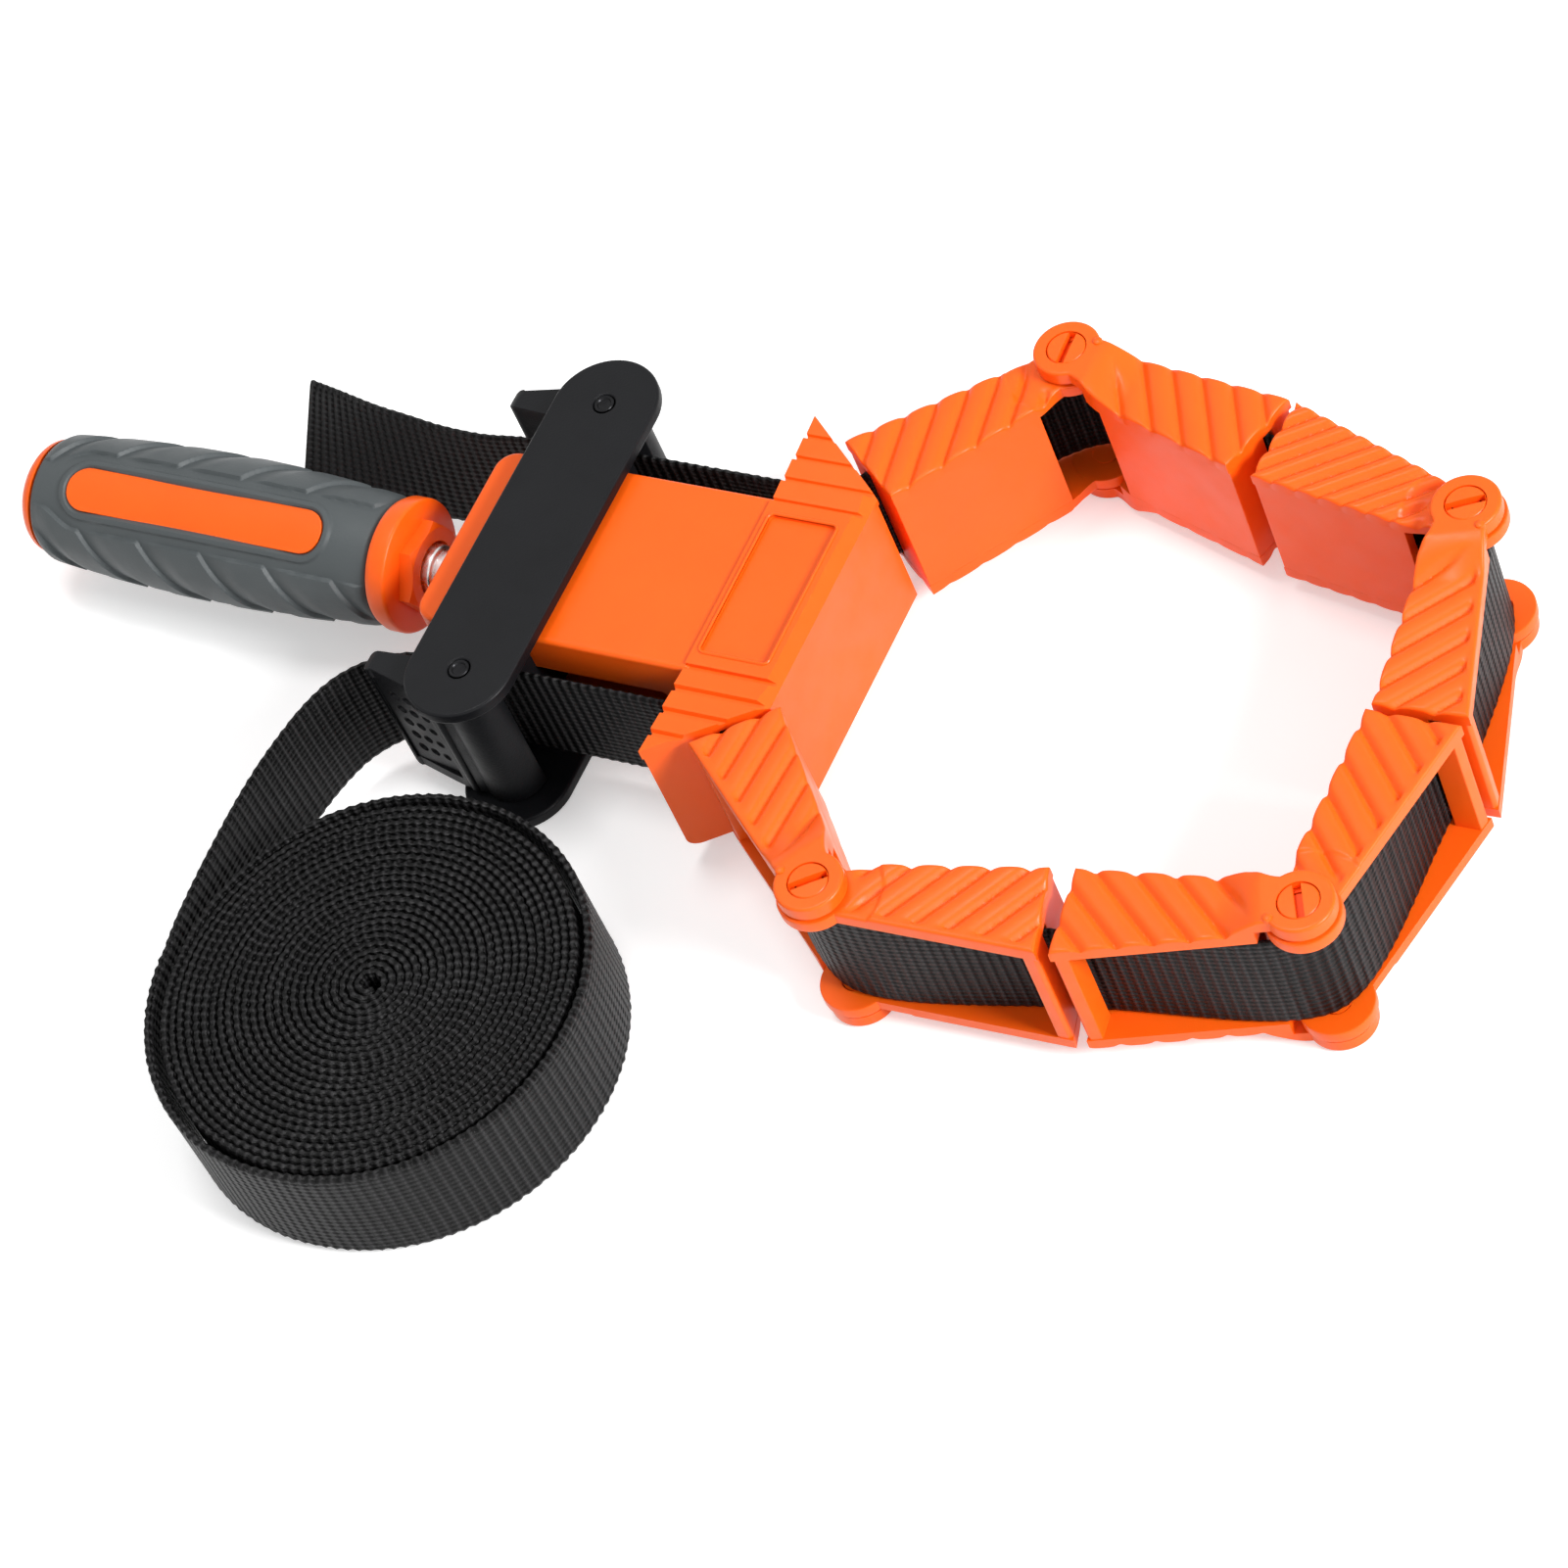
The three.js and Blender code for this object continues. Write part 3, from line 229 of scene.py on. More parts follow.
def prism(points, low, high):
    """Vertices and faces of a closed prism over an outline [(x, y), ...]."""
    count = len(points)
    verts = [(x, y, low) for x, y in points] + [(x, y, high) for x, y in points]
    return verts, [list(range(count))[::-1], list(range(count, 2 * count)), *ring_faces(2, count)]


def across_x(profile, x0, x1):
    """A prism along x over an outline in the y-z plane."""
    verts, faces = prism(profile, x0, x1)
    return [(z, x, y) for x, y, z in verts], faces


def along_y(profile, y0, y1):
    """A prism along y over an outline in the x-z plane."""
    verts, faces = prism(profile, y0, y1)
    return [(x, z, y) for x, y, z in verts], faces


def lathe(profile, sides=64):
    """A closed turned form about the x axis from [(radius, x), ...]."""
    verts, faces, rings = [], [], []
    for radius, x in profile:
        count = 1 if radius < 1e-6 else sides
        rings.append([len(verts) + k for k in range(count)])
        for k in range(count):
            turn = 2 * pi * k / sides
            verts.append((x, radius * cos(turn), radius * sin(turn)))
    pairs = list(zip(rings, rings[1:]))
    if len(rings[0]) > 1:
        pairs.append((rings[-1], rings[0]))
    for a, b in pairs:
        for k in range(sides):
            m = (k + 1) % sides
            quad = [a[k % len(a)], a[m % len(a)], b[m % len(b)], b[k % len(b)]]
            face = list(dict.fromkeys(quad))
            if len(face) > 2:
                faces.append(face)
    return verts, faces


def cylinder(radius, low, high, sides=40):
    """A cylinder about the x axis."""
    return lathe([(0, low), (radius, low), (radius, high), (0, high)], sides)


def upright(shape):
    """Turns a form about the x axis into one about the z axis."""
    verts, faces = shape
    return [(y, z, x) for x, y, z in verts], faces


def moved(shape, dx=0, dy=0, dz=0):
    verts, faces = shape
    return [(x + dx, y + dy, z + dz) for x, y, z in verts], faces


def mirrored(shape):
    """The same form below the x-y plane."""
    verts, faces = shape
    return [(x, y, -z) for x, y, z in verts], faces


def merged(*shapes):
    verts, faces = [], []
    for more, sides in shapes:
        start = len(verts)
        verts += list(more)
        faces += [[start + i for i in side] for side in sides]
    return verts, faces


def arc(cx, cy, radius, start, end, steps):
    points = []
    for i in range(steps + 1):
        turn = radians(start + (end - start) * i / steps)
        points.append((cx + radius * cos(turn), cy + radius * sin(turn)))
    return points


def stadium(length, width, steps=24):
    """Outline of a slot form along x, centred on the origin."""
    straight = (length - width) / 2
    return arc(straight, 0, width / 2, -90, 90, steps) + arc(-straight, 0, width / 2, 90, 270, steps)


def rounded_box(x0, x1, y0, y1, corner, steps=6):
    left, right, low, high = x0 + corner, x1 - corner, y0 + corner, y1 - corner
    points = []
    for i, (x, y) in enumerate(((right, low), (right, high), (left, high), (left, low))):
        points += arc(x, y, corner, 90 * i - 90, 90 * i, steps)
    return points


def add_modifier(obj, kind, **settings):
    step = obj.modifiers.new(kind.lower(), kind)
    for setting, value in settings.items():
        setattr(step, setting, value)


def edge_bevel(obj, width, segments, angle, **settings):
    """Adds a bevel to the edges that turn by more than an angle."""
    limit = radians(angle)
    add_modifier(
        obj, "BEVEL", width=width * MM, segments=segments, limit_method="ANGLE", angle_limit=limit, **settings
    )


def bake_modifiers(obj):
    """Replaces an object's mesh by the mesh that its modifiers give."""
    graph = bpy.context.evaluated_depsgraph_get()
    graph.update()
    mesh = bpy.data.meshes.new_from_object(obj.evaluated_get(graph))
    old = obj.data
    obj.modifiers.clear()
    obj.data = mesh
    bpy.data.meshes.remove(old)


def bevel(obj, width, segments, angle):
    edge_bevel(obj, width, segments, angle, miter_outer="MITER_ARC")
    bake_modifiers(obj)
    smooth(obj)


def combine(obj, shape, operation="DIFFERENCE"):
    """Cuts a form from an object, or keeps the part that both share."""
    tool = to_object(obj.name + "_tool", *shape, None)
    add_modifier(obj, "BOOLEAN", operation=operation, solver="EXACT", object=tool)
    bake_modifiers(obj)
    bpy.data.objects.remove(tool)
    smooth(obj)


def tidy_mesh(obj):
    """Joins doubled points and flat neighbours, so that a bevel runs cleanly."""
    shell = bmesh.new()
    shell.from_mesh(obj.data)
    bmesh.ops.remove_doubles(shell, verts=shell.verts, dist=0.002 * MM)
    bmesh.ops.dissolve_limit(shell, angle_limit=radians(0.5), verts=shell.verts, edges=shell.edges)
    shell.to_mesh(obj.data)
    shell.free()


def smoothstep(low, high, value):
    share = np.clip((value - low) / (high - low), 0, 1)
    return share * share * (3 - 2 * share)


# Materials

def set_inputs(tree, node, values):
    """Sets a node's inputs to plain values or to the outputs of other nodes."""
    for name, value in values.items():
        if isinstance(value, bpy.types.NodeSocket):
            tree.links.new(value, node.inputs[name])
        else:
            node.inputs[name].default_value = value


def add_node(tree, kind, values, **settings):
    node = tree.nodes.new(f"ShaderNode{kind}")
    for setting, value in settings.items():
        setattr(node, setting, value)
    set_inputs(tree, node, values)
    return node


def principled(name, colour, roughness, metallic=0):
    material = bpy.data.materials.new(name)
    material.use_nodes = True
    shader = material.node_tree.nodes["Principled BSDF"]
    plain = {"Base Color": (*colour, 1), "Roughness": roughness, "Metallic": metallic}
    set_inputs(material.node_tree, shader, plain)
    return material, material.node_tree, shader


def noise(tree, scale, detail=3):
    place = add_node(tree, "TexCoord", {}).outputs["Object"]
    return add_node(tree, "TexNoise", {"Scale": scale, "Detail": detail, "Vector": place}).outputs["Fac"]


def spread(tree, value, low, high):
    """Maps 0.3..0.7 of a noise to low..high."""
    values = {"Value": value, "From Min": 0.3, "From Max": 0.7, "To Min": low, "To Max": high}
    return add_node(tree, "MapRange", values).outputs["Result"]


def tint(tree, factor, dark, light):
    values = {"Factor": factor, "A": (*dark, 1), "B": (*light, 1)}
    return add_node(tree, "Mix", values, data_type="RGBA").outputs["Result"]


def grain(tree, height, strength, distance):
    values = {"Height": height, "Strength": strength, "Distance": distance}
    return add_node(tree, "Bump", values).outputs["Normal"]


def plastic(name, dark, light, roughness, grain_scale, grain_strength, specular=0.4, glow=0):
    """Moulded plastic: faint flow marks, uneven gloss, a fine grain and some translucency."""
    material, tree, shader = principled(name, light, roughness)
    set_inputs(tree, shader, {
        "Base Color": tint(tree, noise(tree, 55), dark, light),
        "Roughness": spread(tree, noise(tree, 140), roughness - 0.06, roughness + 0.08),
        "Normal": grain(tree, noise(tree, grain_scale, 4), grain_strength, 0.1 * MM),
        "Specular IOR Level": specular,
        "Subsurface Weight": glow,
        "Subsurface Radius": (1, 0.16, 0.04),
        "Subsurface Scale": 4 * MM,
    })
    return material


def metal(name, dark, light, roughness):
    material, tree, shader = principled(name, light, roughness, 1)
    set_inputs(tree, shader, {
        "Base Color": tint(tree, noise(tree, 260), dark, light),
        "Roughness": spread(tree, noise(tree, 480), roughness - 0.08, roughness + 0.12),
        "Normal": grain(tree, noise(tree, 1400), 0.25, 0.05 * MM),
    })
    return material


def wave(tree, vector, direction, period):
    """A sine stripe along one coordinate of a texture space in metres."""
    values = {"Scale": 2 * pi / (20 * period * MM), "Vector": vector}
    return add_node(tree, "TexWave", values, bands_direction=direction).outputs["Fac"]


def combined(tree, operation, *values):
    return add_node(tree, "Math", dict(enumerate(values)), operation=operation).outputs["Value"]


def woven(name):
    """Flat webbing: cross ribs and warp threads on its own flat coordinates, with painted shade that darkens
    the gaps between them.
    """
    dark, light = (0.0004, 0.0004, 0.0004), (0.0360, 0.0350, 0.0365)
    material, tree, shader = principled(name, light, 0.45)
    flat = add_node(tree, "TexCoord", {}).outputs["UV"]
    ribs = wave(tree, flat, "X", WEAVE_ALONG)
    warp = wave(tree, flat, "Y", WEAVE_ACROSS)
    height = combined(tree, "MULTIPLY_ADD", warp, 0.3, ribs)
    height = combined(tree, "MULTIPLY_ADD", noise(tree, 2600, 2), 0.3, height)
    # Painted shade: the colour follows the weave's height, dark in the low gaps between ribs and threads and
    # lighter on them.
    shade = combined(tree, "MULTIPLY", combined(tree, "POWER", ribs, 2.4), 0.6)
    shade = combined(tree, "MULTIPLY_ADD", warp, 0.22, shade)
    patches = spread(tree, noise(tree, 90), 0.7, 1)
    set_inputs(tree, shader, {
        "Base Color": tint(tree, combined(tree, "MULTIPLY", shade, patches), dark, light),
        "Normal": grain(tree, height, 1, 0.6 * MM),
        "Specular IOR Level": 0.14,
    })
    return material


materials = {
    ORANGE: plastic("orange plastic", (0.94, 0.108, 0.004), (1, 0.128, 0.005), 0.36, 900, 0.08, 0.3, 0.1),
    BLACK: plastic(
        "black plastic", (0.0038, 0.0040, 0.0048), (0.0065, 0.0068, 0.0082), 0.42, 2200, 0.45, 0.16
    ),
    RUBBER: plastic("grip rubber", (0.052, 0.061, 0.064), (0.070, 0.080, 0.083), 0.52, 1500, 0.45),
    STEEL: metal("bright steel", (0.60, 0.59, 0.58), (0.93, 0.93, 0.93), 0.26),
    BRASS: metal("brass", (0.50, 0.33, 0.10), (0.72, 0.50, 0.18), 0.30),
    WHITE: plastic("white plastic", (0.68, 0.66, 0.60), (0.78, 0.75, 0.69), 0.45, 900, 0.10),
    WEBBING: woven("webbing"),
}
dark_steel = metal("dark steel", (0.012, 0.012, 0.013), (0.030, 0.030, 0.032), 0.34)


def finish_piece(obj, body, replaced):
    """Attaches a piece to its body, hides the CAD node that it replaces, and keeps large flat faces plain
    beside rounded edges.
    """
    add_modifier(obj, "WEIGHTED_NORMAL", mode="FACE_AREA", weight=80, keep_sharp=True)
    bake_modifiers(obj)
    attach(obj, body)
    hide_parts(replaced)


# Fixed jaw: the webbing's way inside it

FLANK = Vector((JAW_DEPTH, JAW_FACE_HALF - JAW_BACK_HALF))
FLANK_ALONG = FLANK.normalized()
FLANK_NORMAL = Vector((-FLANK_ALONG.y, FLANK_ALONG.x))
FLANK_DEGREES = math.degrees(math.atan2(FLANK_NORMAL.y, FLANK_NORMAL.x))
FLANK_EXIT = Vector((-JAW_DEPTH, JAW_BACK_HALF)) + FLANK_ALONG * FLANK.length * FLANK_SLOT_SHARE


def jaw_route(start_x, past_exit, steps=16):
    back = (FLANK_EXIT.y - RUN_HALF) / FLANK_NORMAL.y
    corner_x = FLANK_EXIT.x - back * FLANK_NORMAL.x
    tangent = back * JAW_BEND_SHARE
    radius = tangent / math.tan(radians(FLANK_DEGREES / 2))
    bend = arc(corner_x - tangent, RUN_HALF + radius, radius, -90, FLANK_DEGREES - 90, steps)
    end = FLANK_EXIT + FLANK_NORMAL * past_exit
    return [(start_x, RUN_HALF), *bend, (end.x, end.y)]


def direction_at(route, i):
    """The flat direction of a route at one of its points."""
    before, after = route[max(i - 1, 0)], route[min(i + 1, len(route) - 1)]
    return Vector((after[0] - before[0], after[1] - before[1], 0)).normalized()


def band_slot(route):
    """The room that the webbing passes through along a flat route."""
    near, far = [], []
    for i, (x, y) in enumerate(route):
        along = direction_at(route, i)
        nx, ny = -along.y * WEB_SLOT / 2, along.x * WEB_SLOT / 2
        near.append((x + nx, y + ny))
        far.append((x - nx, y - ny))
    return prism(near + far[::-1], -WEB_SLOT_HALF, WEB_SLOT_HALF)


def jaw_plan(inset=0):
    """The jaw's outline from above, with its flanks set in."""
    shift = inset / FLANK_NORMAL.x * FLANK_ALONG.x
    back, face = JAW_BACK_HALF - shift, JAW_FACE_HALF - shift
    return [(-JAW_DEPTH, -back), (0, -face), (0, face), (-JAW_DEPTH, back)]


def ribbed_profile():
    """The jaw's height along y: plain in the middle, with steps towards both ends."""
    half = [(0, JAW_TOP), (RIB_START, JAW_TOP)]
    for y in JAW_RIBS:
        half += [(y + 0.05, JAW_TOP - RIB_HEIGHT), (y + JAW_RIB_PITCH * 0.16, JAW_TOP - RIB_HEIGHT)]
        half += [(y + JAW_RIB_PITCH * 0.2, JAW_TOP - 0.35), (y + JAW_RIB_PITCH * 0.95, JAW_TOP)]
    half += [(JAW_BACK_HALF + 2, JAW_TOP), (JAW_BACK_HALF + 2, -JAW_TOP - 1)]
    return half + [(-y, z) for y, z in half[::-1][:-1]]


def fixed_jaw():
    jaw = to_object("clamp_base", *prism(jaw_plan(), -JAW_TOP, JAW_TOP + 1), ORANGE)
    combine(jaw, across_x(ribbed_profile(), -JAW_DEPTH - 1, 1), "INTERSECT")
    back, beyond = -JAW_DEPTH - 1, 60
    for side in (1, -1):
        drop = [(x, side * z) for x, z in ((-2.6, JAW_TOP), (0, 14.6), (1, 14.6), (1, 18), (-2.6, 18))]
        combine(jaw, along_y(drop, -beyond, beyond))
        _, _, face_end, back_end = jaw_plan(FLANK_INSET)
        outside = [(1, JAW_FACE_HALF - 3), (1, beyond), (back, beyond), (back, back_end[1])]
        pocket = [(x, side * y) for x, y in (back_end, face_end, *outside)]
        combine(jaw, prism(pocket, -JAW_TOP - 1, JAW_TOP - JAW_SLAB))
        foot_x, foot_z = FOOT_ROUNDING - JAW_DEPTH, FOOT_ROUNDING - JAW_TOP
        foot = [(back, -JAW_TOP - 1), (foot_x, -JAW_TOP - 1)]
        foot += [*arc(foot_x, foot_z, FOOT_ROUNDING, 270, 180, 8), (back, foot_z)]
        combine(jaw, along_y(foot, *sorted((side * (JAW_BACK_HALF - 9), side * beyond))))
        route = [(x, side * y) for x, y in jaw_route(back, 3)]
        combine(jaw, band_slot(route))
        for y in JAW_RIBS:
            notch = [(back, side * (y - 1)), (0.4 - JAW_DEPTH, side * (y + 0.4)), (back, side * (y + 3.2))]
            combine(jaw, prism(notch, JAW_TOP - JAW_SLAB, JAW_TOP + 2))
    recess = rounded_box(*JAW_POCKET, 1)
    combine(jaw, prism(recess, JAW_TOP - 0.8, JAW_TOP + 2))
    tidy_mesh(jaw)
    bevel(jaw, 0.3, 2, 25)
    lip = frame_ring(recess, 0.55, JAW_TOP - 0.02, 0.42)
    return join_objects(jaw, to_object("label_lip", *lip, ORANGE), stem_shell())


def frame_ring(outline, width, base, rise):
    """A low rounded bead that runs round a closed outline on a flat top."""
    count = len(outline)
    verts = []
    section = [(0, -0.5), (0, 0.5), (0.3, 0.9), (0.7, 0.9), (1, 0.5), (1, -0.5)]
    for i, point in enumerate(outline):
        along = (Vector(outline[(i + 1) % count]) - Vector(outline[i - 1])).normalized()
        outward = Vector((along.y, -along.x))
        for share, lift in section:
            place = Vector(point) + outward * width * share
            verts.append((place.x, place.y, base + rise * lift))
    return verts, ring_faces(count, len(section), True)


def join_objects(first, *others):
    """Joins several closed shells into one object."""
    shell = bmesh.new()
    for obj in (first, *others):
        shell.from_mesh(obj.data)
    shell.to_mesh(first.data)
    shell.free()
    for obj in others:
        bpy.data.objects.remove(obj)
    smooth(first)
    return first


def stem_shell():
    back = -JAW_DEPTH - STEM_LENGTH
    outline = [(-JAW_DEPTH + 1, -STEM_HALF), (-JAW_DEPTH + 1, STEM_HALF)]
    outline += arc(back + STEM_CORNER, STEM_HALF - STEM_CORNER, STEM_CORNER, 90, 180, 10)
    outline += arc(back + STEM_CORNER, STEM_CORNER - STEM_HALF, STEM_CORNER, 180, 270, 10)
    stem = to_object("stem", *prism(outline, -STEM_TOP, STEM_TOP), ORANGE)
    bevel(stem, 1, 4, 60)
    half = STEM_HALF - STEM_WALL
    cavity = rounded_box(back + STEM_BACK_WALL, -JAW_DEPTH - 1, -half, half, 0.5)
    combine(stem, prism(cavity, -STEM_TOP - 1, STEM_TOP - STEM_ROOF))
    combine(stem, along_y(rounded_box(*STEM_SLOT, 1), -STEM_HALF - 1, STEM_HALF + 1))
    combine(stem, cylinder(SPINDLE_HOLE, back - 1, back + STEM_BACK_WALL + 1, 48))
    tidy_mesh(stem)
    return stem


# Carrier and levers

def carrier_plates():
    for side, name in ((1, "top"), (-1, "bottom")):
        outline = [(CAM_X + y, x) for x, y in stadium(2 * PIN_HALF + 2 * PLATE_HALF, 2 * PLATE_HALF, 40)]
        low, high = sorted((side * PLATE_TOP, side * (PLATE_TOP - PLATE_THICK)))
        plate = to_object(f"{name}_plate", *prism(outline, low, high), BLACK)
        for y in (PIN_HALF, -PIN_HALF):
            combine(plate, moved(upright(cylinder(PIN_BORE, -25, 25)), CAM_X, y))
        tidy_mesh(plate)
        bevel(plate, 0.75, 3, 40)
        finish_piece(plate, "carrier", f"carrier_{name}_plate")


def pivot_pins():
    outer, end = PIN_RADIUS + 0.05, PLATE_TOP + 0.05
    half = [(0, end - 0.35), (1.3, end - 0.35), (1.45, end - 0.1), (1.6, end)]
    half += [(outer - 0.15, end), (outer, end - 0.15)]
    pin = upright(lathe([(radius, -z) for radius, z in half] + half[::-1], 40))
    for side, name in SIDES:
        obj = to_object(f"{name}_pin", *moved(pin, CAM_X, side * PIN_HALF), None)
        obj.data.materials.append(dark_steel)
        finish_piece(obj, "carrier", f"{name}_pivot_pin")


def lever_outline():
    """Outline about the pin, with +x towards the pad and +y away from the webbing."""
    clearance = PIN_HALF - RUN_HALF - WEB / 2 - FIT
    cam = []
    for i in range(17):
        degrees = 240 + 70 * i / 16
        turn = radians(degrees)
        radius = clearance + CAM_RISE * (degrees - 270) / 40
        cam.append((radius * cos(turn), radius * sin(turn)))
    inner = [(LEVER_REACH * 0.3, LEVER_HUB * -0.73), (LEVER_REACH * 0.42, LEVER_HUB * -0.46)]
    tip = arc(LEVER_REACH - LEVER_TIP, 0, LEVER_TIP, -90, 90, 10)
    outer = [(LEVER_REACH * a, LEVER_HUB * b) for a, b in ((0.88, 0.33), (0.5, 0.68), (0.3, 0.84))]
    return cam + inner + tip + outer + arc(0, 0, LEVER_HUB, 55, 185, 20)


def pad_height(along):
    """Height of a lever's outer side above its middle line, at a distance from the pin."""
    return LEVER_HUB * (0.68 - 0.35 * (along / LEVER_REACH - 0.5) / 0.38)


def lever_dimples(side):
    """Five rows of three balls that stand half in the sunk pad."""
    steps = [radians(degrees) for degrees in range(0, 181, 20)]
    ball = upright(lathe([(DIMPLE * sin(t), -DIMPLE * cos(t)) for t in steps], 16))
    dimples = []
    for i in range(3):
        along = LEVER_REACH * (0.5 + 0.13 * i)
        rise = pad_height(along) - LEVER_RELIEF + 0.75
        dimples += [moved(ball, -along, side * rise, DIMPLE_PITCH * (k - 2)) for k in range(5)]
    return merged(*dimples)


def levers():
    for side, name in SIDES:
        outline = [(-x, side * y) for x, y in lever_outline()]
        lever = to_object(f"{name}_cam_lever", *prism(outline, -LEVER_HALF, LEVER_HALF), BLACK)
        profile = rounded_box(-LEVER_REACH - 0.1, 30, -LEVER_HALF, LEVER_HALF, LEVER_CORNER)
        combine(lever, along_y(profile, -20, 20), "INTERSECT")
        pad_end = LEVER_REACH - 1.7
        relief = [(pad_end, LEVER_TIP - 0.55), (LEVER_REACH * 0.5, LEVER_HUB * 0.68 - LEVER_RELIEF)]
        relief += [(9, LEVER_HUB * 0.77 - LEVER_RELIEF), (9, 12), (pad_end, 12)]
        relief = [(-x, side * y) for x, y in relief]
        combine(lever, prism(relief, LEVER_LIP - LEVER_HALF, LEVER_HALF - LEVER_LIP))
        tidy_mesh(lever)
        bevel(lever, 0.6, 3, 40)
        combine(lever, upright(cylinder(LEVER_BORE, -25, 25)))
        combine(lever, lever_dimples(side))
        bead = [(0, 15.6), (0.7, 15.6), (0.9, 15.2)]
        bead = upright(lathe([(radius, -z) for radius, z in bead] + bead[::-1], 20))
        join_objects(lever, to_object("bead", *moved(bead, -6.6, side * 5), BLACK))
        lever.data.transform(Matrix.Translation(Vector((CAM_X, side * PIN_HALF, 0)) * MM))
        finish_piece(lever, f"lever_{name}", f"{name}_lever")


# Handle

def grip_radius(x):
    share = (2 * x - GRIP_BACK - GRIP_FRONT) / (GRIP_FRONT - GRIP_BACK)
    return GRIP_MIDDLE_RADIUS - (GRIP_MIDDLE_RADIUS - GRIP_END_RADIUS) * share * share


def tread(x, around):
    """Saw-toothed pads: each rises towards its slanted far edge and ends there in a step."""
    first = np.where(around > 0, LOWER_TREAD, UPPER_TREAD)
    start = TREAD_START - 3.8 * smoothstep(0, 9, WINDOW_MIDDLE - WINDOW_LENGTH / 2 + 3 - x)
    beyond = np.abs(around) - start
    share = ((x - first - TREAD_SLOPE * beyond) / TREAD_PITCH) % 1
    fall = smoothstep(0, TREAD_STEP / TREAD_PITCH, 1 - share)
    return TREAD_HEIGHT * smoothstep(0, 0.45, share) * fall * smoothstep(0, 0.5, beyond)


def grip_lift(x, turn):
    """How far the grip stands out of its barrel form, for a turn from the first window's middle."""
    half_turn = (turn + pi / 2) % pi - pi / 2
    around = half_turn * grip_radius(x)
    beyond = np.maximum(np.abs(x - WINDOW_MIDDLE) - (WINDOW_LENGTH - WINDOW_WIDTH) / 2, 0)
    outside = np.hypot(beyond, around) - WINDOW_WIDTH / 2
    lip = LIP_HEIGHT * smoothstep(0, 0.5, outside) * (1 - smoothstep(LIP_WIDTH - 0.7, LIP_WIDTH, outside))
    well = -1.4 * (1 - smoothstep(-0.35, 0, outside))
    return lip + well + tread(x, around)


def grip_sleeve():
    """The soft sleeve: a barrel with its pads, the windows' lips and wells, and a round bore."""
    ends = [GRIP_ROUNDING * share for share in (0, 0.1, 0.25, 0.45, 0.7)]
    middle = np.linspace(GRIP_BACK + GRIP_ROUNDING, GRIP_FRONT - GRIP_ROUNDING, GRIP_COLUMNS)
    columns = [*(GRIP_BACK + e for e in ends), *middle, *(GRIP_FRONT - e for e in ends[::-1])]
    turns = np.arange(GRIP_SIDES) * 2 * pi / GRIP_SIDES
    x, turn = np.meshgrid(columns, turns, indexing="ij")
    edge = np.minimum(x - GRIP_BACK, GRIP_FRONT - x)
    radius = grip_radius(x) + grip_lift(x, turn) * smoothstep(0, 3, edge) - rounded(edge, GRIP_ROUNDING)
    rolled = turn + radians(WINDOW_ROLL)
    y, z = -radius * np.sin(rolled), radius * np.cos(rolled)
    verts = [*zip(x.ravel(), y.ravel(), z.ravel())]
    for end in (GRIP_FRONT, GRIP_BACK):
        verts += [(end, -GRIP_BORE * sin(t), GRIP_BORE * cos(t)) for t in rolled[0]]
    return verts, ring_faces(len(columns) + 2, GRIP_SIDES, True)


def window_inlay(turn):
    """A window's bar of hard plastic, curved as the grip is and a little crowned."""
    outline = stadium(WINDOW_LENGTH - FIT, WINDOW_WIDTH - FIT, 20)
    levels = ((-1.5, 1), (0.05, 1), (0.22, 0.985), (0.3, 0.955))
    verts = []
    for lift, size in levels:
        for x, around in outline:
            place = WINDOW_MIDDLE + x * (1 - (1 - size) * WINDOW_WIDTH / WINDOW_LENGTH)
            angle = radians(WINDOW_ROLL + turn) + around * size / grip_radius(place)
            radius = grip_radius(place) + lift
            verts.append((place, -radius * sin(angle), radius * cos(angle)))
    count = len(outline)
    faces = ring_faces(len(levels), count)
    for start, end in ((0, count - 1), (len(verts) - count, len(verts) - 1)):
        faces += [[start + i, start + i + 1, end - i - 1, end - i] for i in range(count // 2 - 1)]
    return verts, faces


